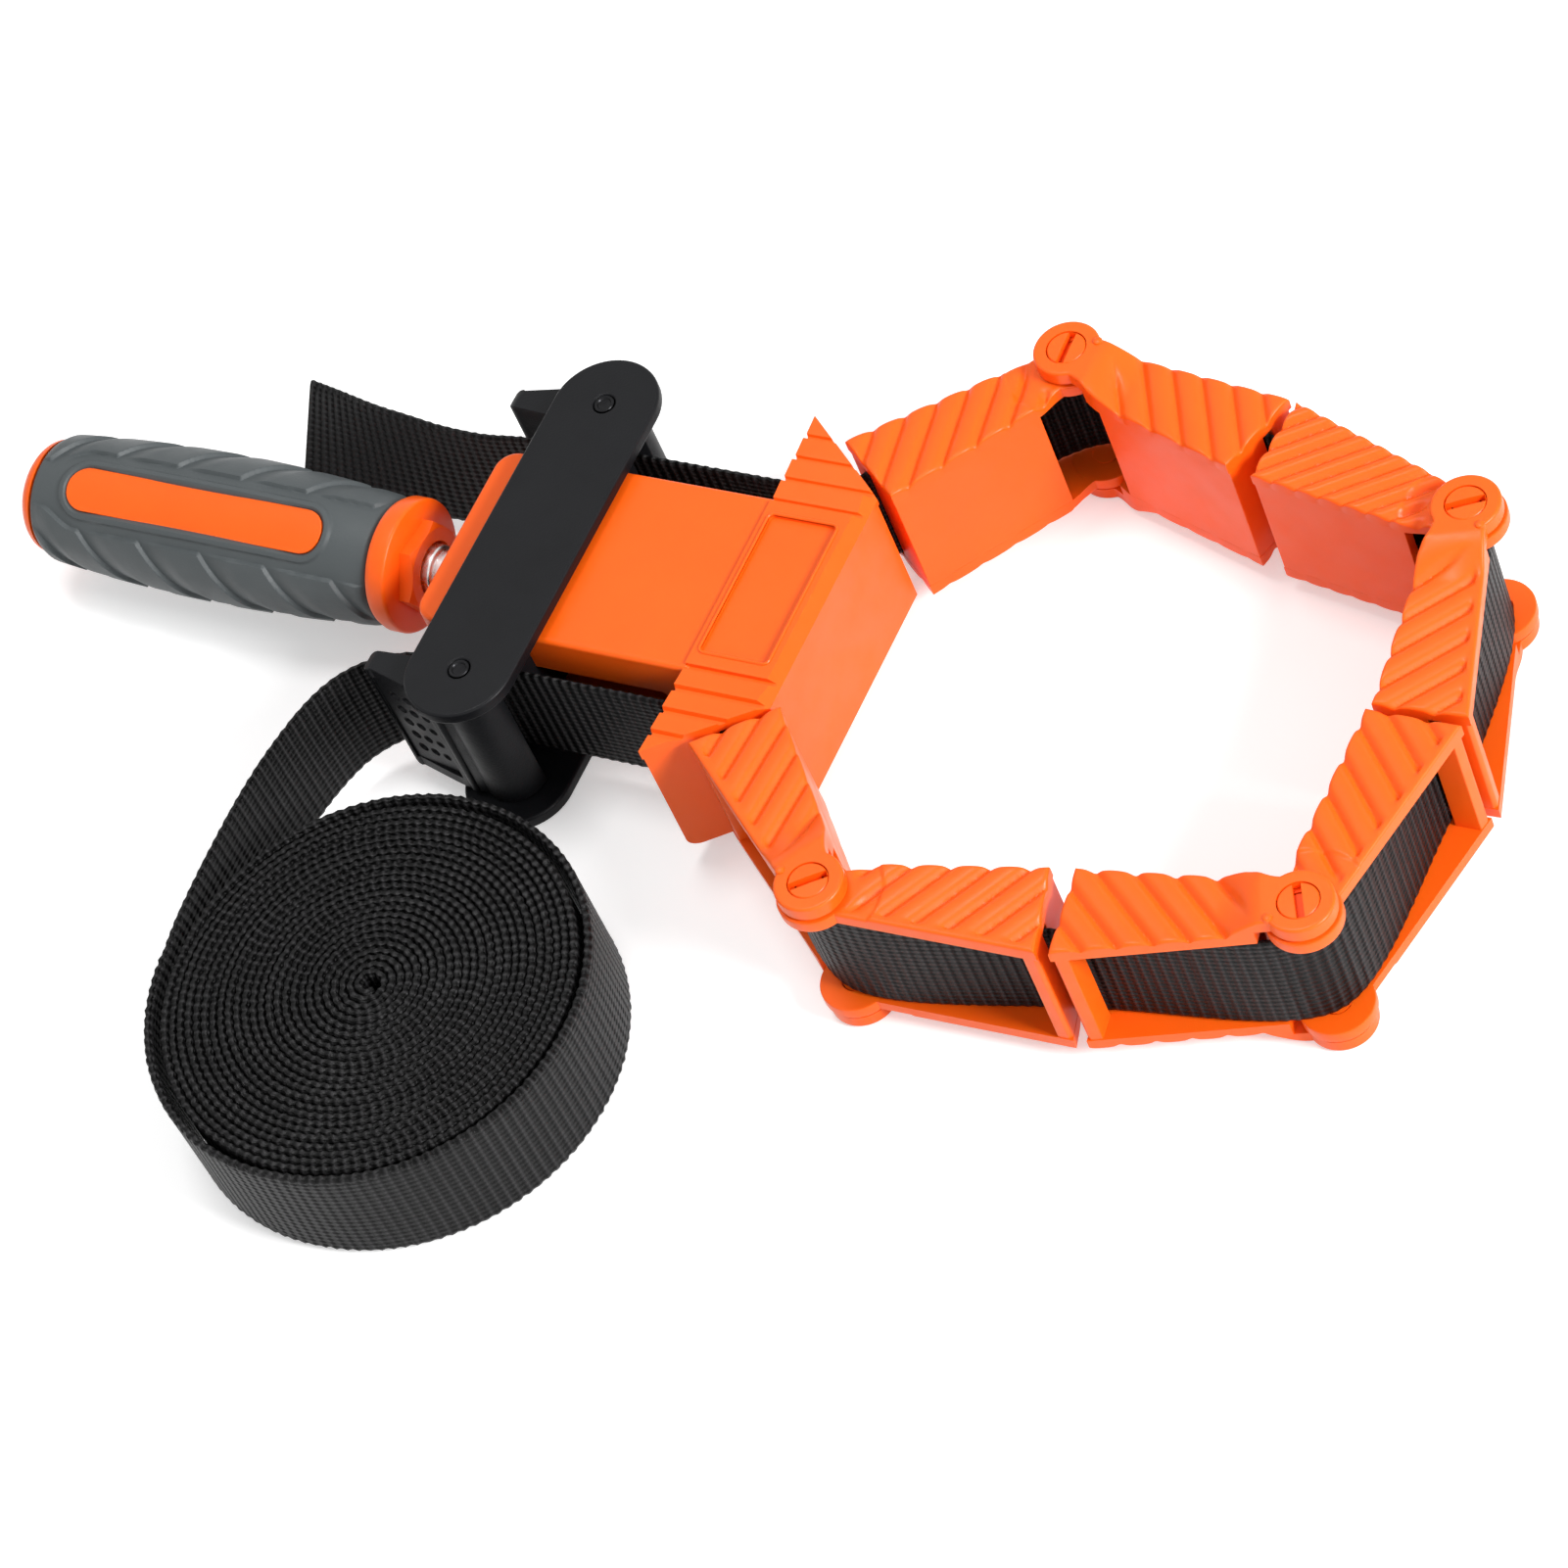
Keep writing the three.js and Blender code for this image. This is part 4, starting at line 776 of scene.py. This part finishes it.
def handle():
    grip = to_object("grip_sleeve", *grip_sleeve(), RUBBER)
    finish_piece(grip, "handle", "handle_grip")
    back, front = GRIP_BACK - FIT, GRIP_FRONT + FIT
    butt_radius, quarter = GRIP_END_RADIUS - FIT, arc(0, 0, 1, -90, 0, 12)
    profile = [(abs(u) * butt_radius, back + v * BUTT_LENGTH) for u, v in quarter]
    profile += [
        (GRIP_BORE - FIT, back), (GRIP_BORE - FIT, front), (11.9, front), (13.1, front + 0.45),
        (FLANGE_RADIUS, front + 1.7), (FLANGE_RADIUS, FLANGE_FRONT - 1.2), (13.5, FLANGE_FRONT - 0.7),
        (13.1, FLANGE_FRONT - 0.4), (9.6, FLANGE_FRONT), (0, FLANGE_FRONT),
    ]
    core = to_object("handle_body", *lathe(profile, 96), ORANGE)
    hexagon = cylinder(NOSE_ACROSS / math.sqrt(3), FLANGE_FRONT - 0.8, NOSE_FRONT, 6)
    nose = to_object("nose", *hexagon, ORANGE)
    nose.data.transform(Matrix.Rotation(radians(NOSE_ROLL), 4, "X"))
    back, front = FLANGE_FRONT - 2, NOSE_FRONT + 0.1
    cone = lathe([(0, back), (12, back), (12, front - 2.3), (8.3, front), (0, front)])
    combine(nose, cone, "INTERSECT")
    back, front = NOSE_FRONT - 3, NOSE_FRONT + 1
    combine(nose, lathe([(0, back), (5.5, back), (5.9, front), (0, front)]))
    tidy_mesh(nose)
    bevel(nose, 0.35, 2, 25)
    inlays = [to_object("inlay", *window_inlay(turn), ORANGE) for turn in (0, 180)]
    join_objects(core, nose, *inlays)
    finish_piece(core, "handle", "handle_core")
    profile = [
        (0, -96), (5.2, -96), (5.2, -91.9), (4.9, -91.4), (4.3, -91), (4.3, -89.6), (4.8, -89.2),
        (5.2, -88.6), (5.1, -84.4), (4.7, -83.8), (4, -83.8), (4, -77.4), (3.2, -77.4), (3.2, -76.2),
        (4, -76.2), (4, -21.9), (3, -21.9), (3, -15.9), (0, -15.9),
    ]
    spindle = to_object("screw_spindle", *lathe(profile), STEEL)
    finish_piece(spindle, "handle", "spindle")


# Corner jaws, drawn about the hinge with +x towards the far end and +y outwards

RIB_PITCH = 5.4
FINE_RIB_PITCH = 3.7
RIB_CROWN = 0.55
RIB_GROOVE = 0.6
RIB_GROOVE_HALF = 0.75
RIM = 2.1
SCALLOP = 0.2
ROUNDING = 0.6
NECK_START = 6.4
NECK_END = 16
POST = 3
WALL = 2.2
PIN_HEAD = 3.85
EDGE_SHARES = [0, 0.004, 0.01, 0.02, 0.034, 0.055]
ROW_SHARES = [*EDGE_SHARES, *np.linspace(0.08, 0.92, 31), *(1 - share for share in EDGE_SHARES[::-1])]


def outer_edge(x):
    far = REACH + (ARM_OUTER - SLOT_PLACE) * MITRE
    return ARM_HINGE_OUTER + (ARM_OUTER - ARM_HINGE_OUTER) * x / far


def inner_edge(x):
    return -(5 + 1.4 * smoothstep(5, 12, x))


def heightfield(xs, low_edge, high_edge, top, bottom):
    """A closed slab over a strip: its edges and its top and bottom are functions of place."""
    x, share = np.meshgrid(xs, ROW_SHARES, indexing="ij")
    low, high = low_edge(x), high_edge(x)
    y = low + (high - low) * share
    heights = top(x, y, y - low, high - y), bottom(x) + 0 * x
    x = x * (1 + (y - SLOT_PLACE) * MITRE / REACH)
    verts = [place for z in heights for place in zip(x.ravel(), y.ravel(), z.ravel())]
    rows, columns = x.shape
    grid = np.arange(x.size).reshape(x.shape)
    faces = []
    for a in grid[:-1, :-1].ravel():
        quad = [a, a + columns, a + columns + 1, a + 1]
        faces += [quad, [index + x.size for index in quad[::-1]]]
    border = [*grid[:, 0], *grid[-1, 1:], *grid[-2::-1, -1], *grid[0, -2:0:-1]]
    for a, b in zip(border, border[1:] + border[:1]):
        faces.append([b, a, a + x.size, b + x.size])
    return verts, faces


def rounded(distance, radius):
    """How far a surface drops within a rounded edge."""
    inside = np.clip(radius - distance, 0, radius)
    return radius - np.sqrt(radius * radius - inside * inside)


def rib_wave(x, y, pitch):
    """How far the plate's top drops: crowned ribs with a narrow groove between each two."""
    along = (x + y) / math.sqrt(2) / pitch
    from_crest = (along - np.round(along)) * pitch
    from_groove = pitch / 2 - np.abs(from_crest)
    crown = RIB_CROWN * (2 * from_crest / pitch) ** 2
    return crown + RIB_GROOVE * np.exp(-(from_groove / RIB_GROOVE_HALF) ** 2)


def scalloped(x, style):
    """The inner edge, which the ribs' grooves cut into; the underside's is nearly straight."""
    _, pitch, under = style
    edge = inner_edge(x) + (0.28 if under else 0)
    depth = SCALLOP * (0.2 if under else 1)
    return edge + depth * smoothstep(10, 14, x) * rib_wave(x, edge, pitch)


def plate_columns(start):
    return [*np.linspace(start, REACH - 0.6, 130), *(REACH - gap for gap in (0.4, 0.22, 0.1, 0.03, 0))]


def arm_ribs(x, y, from_inner, from_outer, style):
    """The ribs' depth: none on a flat rim, and on the underside little near the inner edge."""
    rim, pitch, under = style
    start = (RIM - 0.9, RIM) if rim else (-0.3, 0.3)
    worn = 0.75 * (1 - smoothstep(0, 2.5, from_inner)) if under else 0
    return rib_wave(x, y, pitch) * smoothstep(*start, from_outer) * (1 - worn)


def inner_plate(style):
    """An inner arm's plate, a little lower where the outer arm's neck turns over it."""
    def top(x, y, *edges):
        reach = np.hypot(x, y)
        ribs = arm_ribs(x, y, *edges, style) * smoothstep(INNER_LUG + 0.3, INNER_LUG + 3, reach)
        height = ARM_FACE - ribs - 0.35 * (1 - smoothstep(12.9, 13.6, reach))
        return height - rounded(np.minimum(np.minimum(*edges), REACH - x), ROUNDING)

    def low_edge(x):
        return scalloped(x, style)

    return heightfield(plate_columns(0), low_edge, outer_edge, top, lambda x: ARM_FACE - ARM_PLATE)


def outer_plate(style):
    """An outer arm's plate with its neck and raised lug, in one smooth sweep."""
    turns = np.radians(np.linspace(4, 90, 26))
    columns = [*(-OUTER_LUG * np.cos(turns)), *np.linspace(0.4, 7.6, 20), *plate_columns(7.7)]

    def circle(x):
        return np.sqrt(np.clip(OUTER_LUG ** 2 - x * x, 0.01, None))

    def low_edge(x):
        return np.where(x < 0, -circle(x), np.minimum(-circle(x), scalloped(x, style)))

    def high_edge(x):
        return np.where(x < 0, circle(x), np.maximum(circle(x), outer_edge(x)))

    def top(x, y, *edges):
        rise = (LUG_TOP - ARM_FACE) * (1 - smoothstep(NECK_START, NECK_END, x + 0.25 * y))
        ribs = arm_ribs(x, y, *edges, style) * smoothstep(8, 13.5, x)
        edge = np.where(x < 0, OUTER_LUG - np.hypot(x, y), np.minimum(np.minimum(*edges), REACH - x))
        return ARM_FACE + rise - ribs - rounded(edge, ROUNDING)

    def bottom(x):
        return np.where(x < 7.65, ARM_FACE + FIT, ARM_FACE - ARM_PLATE)

    return heightfield(columns, low_edge, high_edge, top, bottom)


def far_end(y):
    return REACH + (y - SLOT_PLACE) * MITRE - 0.05


def arm_walls(half):
    """The inner wall with the post beside the webbing's slot, and the post on the outer side."""
    y0, y1 = -ARM_INNER + 0.28, SLOT_PLACE - WEB_SLOT / 2
    inner = [
        (11, y0), (far_end(y0), y0), (far_end(y1), y1), (far_end(y1) - POST, y1),
        (far_end(y0) - POST, y0 + WALL), (11, y0 + WALL),
    ]
    y2, y3 = SLOT_PLACE + WEB_SLOT / 2, ARM_OUTER - 0.9
    outer = [
        (far_end(y2) - POST, y2), (far_end(y2), y2), (far_end(y3), y3),
        *((far_end(y3) - back, outer_edge(REACH - back) - 0.15) for back in (0.7, POST)),
    ]
    return prism(inner, -half, half), prism(outer, -half, half)


def lug_parts():
    lug = upright(lathe([
        (2.9, 12.9), (INNER_LUG - 0.4, 12.9), (INNER_LUG - 0.1, 13.05), (INNER_LUG, 13.3), (INNER_LUG, 15.25),
        (INNER_LUG - 0.12, 15.52), (INNER_LUG - 0.4, 15.68), (2.9, 15.68),
    ], 72))
    return [to_object("lug", *shape, ORANGE) for shape in (lug, mirrored(lug))]


def lug_plate(name, style):
    """An outer arm's plate on one side, with the round seat for the hinge pin's head."""
    plate = to_object(name, *outer_plate(style), ORANGE)
    combine(plate, upright(cylinder(PIN_HEAD + 0.2, LUG_TOP - 1.6, LUG_TOP + 2, 56)))
    combine(plate, upright(cylinder(2.9, 15, LUG_TOP)))
    if style[-1]:
        plate.data.transform(Matrix.Diagonal((1, 1, -1, 1)))
        plate.data.flip_normals()
    return plate


def arm_object(name, outer, rim):
    pitch = FINE_RIB_PITCH if rim is None else RIB_PITCH
    styles = [(rim, pitch, under) for under in (False, True)]
    half = ARM_FACE - ARM_PLATE + 0.2
    walls = [to_object("wall", *shape, ORANGE) for shape in arm_walls(half)]
    for wall in walls:
        bevel(wall, 0.3, 2, 40)
    if not outer:
        above, below = map(inner_plate, styles)
        plates = to_object(name, *merged(above, mirrored(below)), ORANGE)
        return join_objects(plates, *walls, *lug_parts())
    plates, lower = (lug_plate(name, style) for style in styles)
    dot = upright(lathe([(0, 18), (0.95, 18), (0.95, 19.35), (0.85, 19.6), (0.6, 19.75), (0, 19.82)], 24))
    return join_objects(plates, lower, *walls, to_object("dot", *moved(dot, 4.7, 4.1), ORANGE))


def hinge_pin(name, slot_degrees):
    """Short pin with a sunk slotted head; it stands on the z axis."""
    top = LUG_TOP - 0.05
    head = upright(lathe([
        (0, 12.9), (2.6, 12.9), (2.6, top - 1.4), (PIN_HEAD, top - 1.4), (PIN_HEAD, top - 0.2),
        (PIN_HEAD - 0.2, top), (0, top + 0.12),
    ], 56))
    pin = to_object(name, *head, ORANGE)
    slot = prism([(-3.7, -0.8), (3.7, -0.8), (3.7, 0.8), (-3.7, 0.8)], top - 1.7, top + 2)
    combine(pin, slot)
    pin.data.transform(Matrix.Rotation(radians(slot_degrees), 4, "Z"))
    return pin


# Each corner's arms from the fixed jaw onwards: the body beyond the arm, or its heading where the ring is
# open, and whether it has a flat rim (None for finer ribs); then the turn of the pins' slots
CORNERS = {
    "a": ((("inner", "frame", False), ("outer", "jaw_b_inner", False)), 92),
    "b": ((("inner", "jaw_a_outer", None), ("outer", -84.6, True)), 30),
    "d": ((("outer", "frame", True), ("inner", "jaw_c_outer", True)), 38),
    "c": ((("outer", "jaw_d_inner", False), ("inner", 88.5, True)), -62),
}


def joint_place(*bodies):
    """Where the joint between two bodies lies, in metres."""
    joints = frame["joints"]
    return next(Vector(joint["pos_m"]) for joint in joints if {joint["parent"], joint["child"]} == {*bodies})


def arm_heading(hinge, fold, flip):
    """The heading of an arm, in degrees, whose slot beside its middle line points at the fold."""
    span = fold - hinge
    return math.degrees(math.atan2(span.y, span.x) - flip * math.asin(SLOT_PLACE / span.length))


def corner_places():
    """Each corner's hinge, its arms as (kind, heading, outer edge's side, rim), slots' turn and angle."""
    places = {}
    for letter, (arms, slot_degrees) in CORNERS.items():
        hinge = joint_place(f"jaw_{letter}_inner", f"jaw_{letter}_outer") / MM
        pair = []
        for kind, heading, rim in arms:
            flip = 1 if kind == "outer" else -1
            if isinstance(heading, str):
                fold = joint_place(heading, f"jaw_{letter}_{kind}") / MM
                heading = arm_heading(hinge, fold, flip)
            pair.append((kind, heading, flip, rim))
        interior = abs((pair[0][1] - pair[1][1] + 180) % 360 - 180)
        places[letter] = (hinge, pair, slot_degrees, interior)
    return places


HINGES = corner_places()


def place_piece(obj, matrix, body, node):
    """Moves a piece that was drawn about its hinge to its place, and finishes it."""
    obj.data.transform(matrix)
    face_outwards(obj)
    smooth(obj)
    finish_piece(obj, body, node)


def corner_jaws():
    for letter, (hinge, arms, slot_degrees, _) in HINGES.items():
        place = Matrix.Translation((hinge.x * MM, hinge.y * MM, 0))
        for kind, heading, flip, rim in arms:
            arm = arm_object(f"corner_{letter}_{kind}", kind == "outer", rim)
            turn = Matrix.Rotation(radians(heading), 4, "Z") @ Matrix.Diagonal((1, flip, 1, 1))
            place_piece(arm, place @ turn, f"jaw_{letter}_{kind}", f"jaw_{letter}_{kind}_arm")
        for side, name in SIDES:
            pin = hinge_pin(f"{name}_pin_{letter}", slot_degrees)
            flipped = place @ Matrix.Diagonal((1, 1, side, 1))
            place_piece(pin, flipped, f"jaw_{letter}_outer", f"jaw_{letter}_{name}_hinge_pin")


# Webbing

WEAVE_STEP = 0.57
BAND_ROWS = [0, 0.03, 0.1, 0.25, 0.42, 0.58, 0.75, 0.9, 0.97, 1]
BRAID = 2.3
BRAID_SWAY = 0.16
BRAID_LIFT = 0.22
ROLL_EASE = 25
BLEND_REACH = 4
BASE_SHARE = 0.76


def resampled(points, step):
    """Points at even distances along a smooth curve through the given ones."""
    rough = np.array([tuple(p) + ((0,) if len(p) == 2 else ()) for p in points], float)
    gaps = np.linalg.norm(np.diff(rough[:, :2], axis=0), axis=1)
    knots = np.concatenate([[0], np.cumsum(gaps)])
    wide = np.vstack([2 * rough[0] - rough[1], rough, 2 * rough[-1] - rough[-2]])
    room = np.diff(knots, prepend=knots[0] - gaps[0], append=knots[-1] + gaps[-1])
    slopes = (wide[2:] - wide[:-2]) / (room[1:] + room[:-1])[:, None]
    out = []
    for t in np.linspace(0, knots[-1], max(int(knots[-1] / step), 2) + 1):
        i = min(max(int(np.searchsorted(knots, t)) - 1, 0), len(rough) - 2)
        h = knots[i + 1] - knots[i]
        s = (t - knots[i]) / h
        rise, start, end = rough[i + 1] - rough[i], slopes[i] * h, slopes[i + 1] * h
        bend = 3 * rise - 2 * start - end + s * (start + end - 2 * rise)
        out.append(tuple(rough[i] + s * (start + s * bend)))
    return out


def band(name, points, braid, step=WEAVE_STEP, thickness=WEB):
    """Webbing on edge along points (x, y, bottom) or (x, y, bottom, top's x, y, z).

    Its coordinates are those of the flat band, and a braid share above zero makes its edges sway.
    """
    route = resampled(points, step)
    sections = [(0.3 + 0.2 * min(min(v, 1 - v) / 0.03, 1), v) for v in BAND_ROWS]
    ring = sections + [(-half, v) for half, v in sections[::-1]]
    verts, uvs = [], []
    travelled = 0
    height = 2 * WEB_HALF
    for i, point in enumerate(route):
        low = Vector(point[:3])
        high = Vector(point[3:]) if len(point) > 3 else low + Vector((0, 0, height))
        across = (high - low).normalized().cross(direction_at(route, i))
        if i:
            travelled += math.dist(point[:2], route[i - 1][:2])
        phase = 2 * pi * travelled / BRAID
        loose = 1 + 0.5 * sin(0.83 * travelled) * sin(0.29 * travelled + 1)
        thick = WEB + (thickness - WEB) * min(travelled / ROLL_EASE, 1)
        for k, (offset, v) in enumerate(ring):
            edge = loose * braid * max(0, abs(v - 0.5) - 0.42) / 0.08
            shift = offset * thick + edge * BRAID_SWAY * sin(phase)
            lift = edge * BRAID_LIFT * (abs(sin(phase / 2)) - 1) * (1 if v > 0.5 else -1)
            verts.append(tuple(low.lerp(high, v) + across * shift + Vector((0, 0, lift))))
            side_shift = 0 if k < len(sections) else WEAVE_ALONG / 2
            uvs.append((travelled * MM, (height * v + side_shift) * MM))
    count = len(ring)
    ends = [list(range(count)), list(range(len(verts) - count, len(verts)))[::-1]]
    obj = to_object(name, verts, ring_faces(len(route), count) + ends, WEBBING, uvs, radians(60))
    obj["route_mm"] = travelled
    return obj


def declare(obj, *replaced, held="stretched"):
    if replaced:
        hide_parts(*replaced)


def arm_route(interior, steps=16):
    """The webbing's way from behind the hinge to the slot at the arm's end."""
    half = radians(interior / 2)
    along = Vector((sin(half), cos(half)))
    p0 = Vector((-cos(half), sin(half))) * 2
    p1 = p0 + along * REACH * 0.2
    p2 = Vector((REACH * 0.55, SLOT_PLACE))
    p3 = Vector((REACH - 5.5, SLOT_PLACE))
    points = []
    for i in range(steps + 1):
        t = i / steps
        s = 1 - t
        points.append(tuple(s ** 3 * p0 + 3 * s * s * t * p1 + 3 * s * t * t * p2 + t ** 3 * p3))
    return [*points, (REACH + 0.4, SLOT_PLACE)]


def placed(route, hinge, heading, flip):
    c, s = cos(radians(heading)), sin(radians(heading))
    return [(hinge[0] + x * c - flip * y * s, hinge[1] + x * s + flip * y * c, -WEB_HALF) for x, y in route]


def halves(route):
    """A route's two halves, cut at the middle of its length."""
    points = resampled(route, 1)
    middle = len(points) // 2
    return points[:middle + 1], points[middle:]


def ring_webbing():
    """Pieces from the middle of one arm to the middle of the next, each bending across one joint."""
    inside = resampled(jaw_route(-JAW_DEPTH + 0.2, 0.2), 0.5)
    cut = int((len(inside) - 1) * BASE_SHARE)
    for letters, (side, upper) in zip(("ab", "dc"), SIDES):
        first = [(x, side * y, -WEB_HALF) for x, y, _ in inside]
        base = band(f"webbing_base_{upper}", first[:cut + 1], 0, 1)
        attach(base, "frame")
        declare(base, f"webbing_in_base_{upper}")
        previous, body = first[cut:], "frame"
        arms = [(letter, *arm[:3]) for letter in letters for arm in HINGES[letter][1]]
        for i, (letter, kind, heading, flip) in enumerate(arms):
            hinge, _, _, interior = HINGES[letter]
            route = placed(arm_route(interior), hinge, heading, flip)
            near, rest = halves(route if i % 2 else route[::-1])
            piece = band(f"webbing_{upper}_{i + 1}", previous + near[i % 2:], 0.5)
            span = Vector((near[-1][0] - previous[0][0], near[-1][1] - previous[0][1], 0)).normalized()
            name = f"jaw_{letter}_{kind}"
            joint, reach = joint_place(body, name), span * BLEND_REACH * MM
            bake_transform(piece)
            declare(piece, f"webbing_in_{name}")
            previous, body = rest, name
        last = band(f"webbing_{upper}_5", previous, 0.5)
        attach(last, body)
        declare(last)


def stem_runs():
    for side, name in SIDES:
        y = side * RUN_HALF
        places = [(x, y, -WEB_HALF) for x in (CAM_X, (CAM_X - JAW_DEPTH) / 2, -JAW_DEPTH + 0.2)]
        run = band(f"webbing_beside_{name}", places, 0.6)
        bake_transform(run)
        declare(run, f"webbing_run_{name}")


# The free end by its lower and upper edge: it leans inwards towards its end
FREE_END = [
    (-140.6, 20.4, -12.2, -136.8, 33.2, 9.1), (-129, 21, -13.2, -127.6, 31.2, 9.6),
    (-119.6, 21.9, -14.4, -119.6, 29.7, 9.4), (-111.6, 22.4, -15, -111.6, 28.6, 9.5),
    (-102.6, 23.2, -16, -102.6, 27.7, 9.1), (-92.6, 25, -15.6, -92.6, 27.1, 9.6),
    (-82.6, 26.6, -13.8, -82.6, 27, 11.2), (-72.6, 27, -12.5, -72.6, 27, 12.5),
    (CAM_X, 27, -12.5, CAM_X, 27, 12.5),
]
LONG_END = [
    (-72.6, -27, -12.8), (-79.1, -27.4, -12.8), (-85.1, -29.4, -13), (-90.4, -32.9, -13.3),
    (-94.6, -37.6, -13.9), (-97.6, -43.8, -14.7), (-99.9, -51.5, -15.7), (-101.5, -59.5, -16.7),
    (-102.5, -68, -17.8), (-102.9, -77, -18.7), (-102.8, -85, -19.2), (-102.1, -93, -19.3),
]
# The roll of spare webbing on the table, in millimetres
TABLE = -19.3
ROLL_X = -56.2
ROLL_Y = -96
ROLL_START = 185
ROLL_RADIUS = 41.1
ROLL_PITCH = 1.62
ROLL_LOOPS = 25.4
ROLL_WEB = 1.55


def roll_point(loops):
    """A place on the roll, some loops inwards from its start; the first loop lies looser."""
    turn = radians(ROLL_START + 360 * loops)
    tight = ROLL_RADIUS - ROLL_PITCH * max(loops - 1, 0)
    loose = ROLL_RADIUS + 1.8 + 2 * max(1 - 4 * loops, 0)
    ease = min(4 * max(1 - loops, 0), 1)
    radius = tight + (loose - tight) * ease
    return ROLL_X + radius * cos(turn), ROLL_Y + radius * sin(turn)


def loose_webbing():
    tail = band("webbing_tail", FREE_END, 0.6)
    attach(tail, "carrier")
    declare(tail, "webbing_free_end", held="laid")
    down = band("webbing_to_roll", [(CAM_X, -RUN_HALF, -WEB_HALF), *LONG_END, (*roll_point(0), TABLE)], 0.6)
    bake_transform(down)
    declare(down, "webbing_long_end", held="laid")
    steps = int(ROLL_LOOPS * 72)
    points = []
    for i in range(steps + 1):
        loops = i * ROLL_LOOPS / steps
        rise = 0.14 * sin(5.1 * loops) + 0.1 * sin(2 * pi * loops * 1.37)
        points.append((*roll_point(loops), TABLE + 0.25 + rise))
    coil = band("webbing_coil", points, 1, thickness=ROLL_WEB)
    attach(coil, "frame")
    declare(coil, "webbing_roll", held="laid")


# CAD nodes that show as they are, with softened edges

PLAIN_NODES = {
    ORANGE: ["stem_cover"],
    BLACK: ["carrier_block", "upper_anvil", "lower_anvil"],
    WHITE: ["spindle_bush"],
    BRASS: ["spindle_nut"],
    STEEL: [
        "thrust_washer", "retaining_clip", "upper_lever_spring", "lower_lever_spring",
        *(f"cover_screw_{number}" for number in range(1, 5)),
    ],
}


def plain_nodes():
    for slot, names in PLAIN_NODES.items():
        for name in names:
            node = frame["nodes"][name]
            node.data.materials.clear()
            node.data.materials.append(materials[slot])
            edge_bevel(node, 0.15, 2, 35)


# Stage, light and camera

CAMERA_PLACE = Vector((484.10, -502.94, 801.16))
CAMERA_TURN = (37.0478, 16.5633, 25.0190)
IMAGE_WIDTH = 1601
FOCAL_PIXELS = 5685.25
SENSOR = 36
FLOOR_GLOW = 0.42
WORLD_LEVEL = 0.5


def camera():
    data = bpy.data.cameras.new("camera")
    data.sensor_fit = "HORIZONTAL"
    data.sensor_width = SENSOR
    data.lens = FOCAL_PIXELS * SENSOR / IMAGE_WIDTH
    data.clip_start = 0.01
    data.clip_end = 20
    obj = linked("camera", data)
    obj.location = CAMERA_PLACE * MM
    obj.rotation_euler = [radians(degrees) for degrees in CAMERA_TURN]
    bpy.context.scene.camera = obj


def lamp(name, place, size, power):
    """A round lamp that points at the origin, in metres and watts."""
    data = bpy.data.lights.new(name, "AREA")
    data.shape = "DISK"
    data.size = size
    data.energy = power
    obj = linked(name, data)
    obj.location = place
    obj.rotation_euler = (-Vector(place)).to_track_quat("-Z", "Y").to_euler()


def seen_rays(tree):
    """One for rays that see the background, straight or in a reflection, and zero for others."""
    path = add_node(tree, "LightPath", {})
    seen = combined(tree, "MAXIMUM", path.outputs["Is Camera Ray"], path.outputs["Is Glossy Ray"])
    return combined(tree, "MAXIMUM", seen, path.outputs["Is Transmission Ray"])


def studio():
    bpy.context.scene.view_settings.view_transform = "Standard"
    square = [(-3000, -3000), (3000, -3000), (3000, 3000), (-3000, 3000)]
    floor = to_object("floor", *prism(square, -40, 0), None)
    floor.data.transform(Matrix.Translation((0, 0, (-LUG_TOP - 0.35) * MM)))
    material, tree, shader = principled("floor paper", (0.82, 0.82, 0.82), 0.9)
    shader.inputs["Specular IOR Level"].default_value = 0.1
    level = combined(tree, "MULTIPLY", seen_rays(tree), FLOOR_GLOW)
    glow = add_node(tree, "Emission", {"Strength": level})
    both = add_node(tree, "AddShader", {0: shader.outputs["BSDF"], 1: glow.outputs["Emission"]})
    set_inputs(tree, tree.nodes["Material Output"], {"Surface": both.outputs["Shader"]})
    floor.data.materials.append(material)
    world = bpy.data.worlds.new("world")
    bpy.context.scene.world = world
    world.use_nodes = True
    tree = world.node_tree
    shown = combined(tree, "MULTIPLY", seen_rays(tree), 1 - WORLD_LEVEL)
    level = combined(tree, "ADD", shown, WORLD_LEVEL)
    set_inputs(tree, tree.nodes["Background"], {"Color": (1, 1, 1, 1), "Strength": level})
    lamp("key", (1.3, -0.1, 0.8), 0.5, 25)
    lamp("top", (-0.25, 0.15, 1.4), 0.45, 6.5)
    lamp("front", (0.9, -1.2, 0.7), 0.9, 2.4)


camera()
studio()
finish_piece(fixed_jaw(), "frame", "base_housing")
carrier_plates()
pivot_pins()
levers()
handle()
corner_jaws()
ring_webbing()
stem_runs()
loose_webbing()
plain_nodes()

bpy.context.view_layer.update()
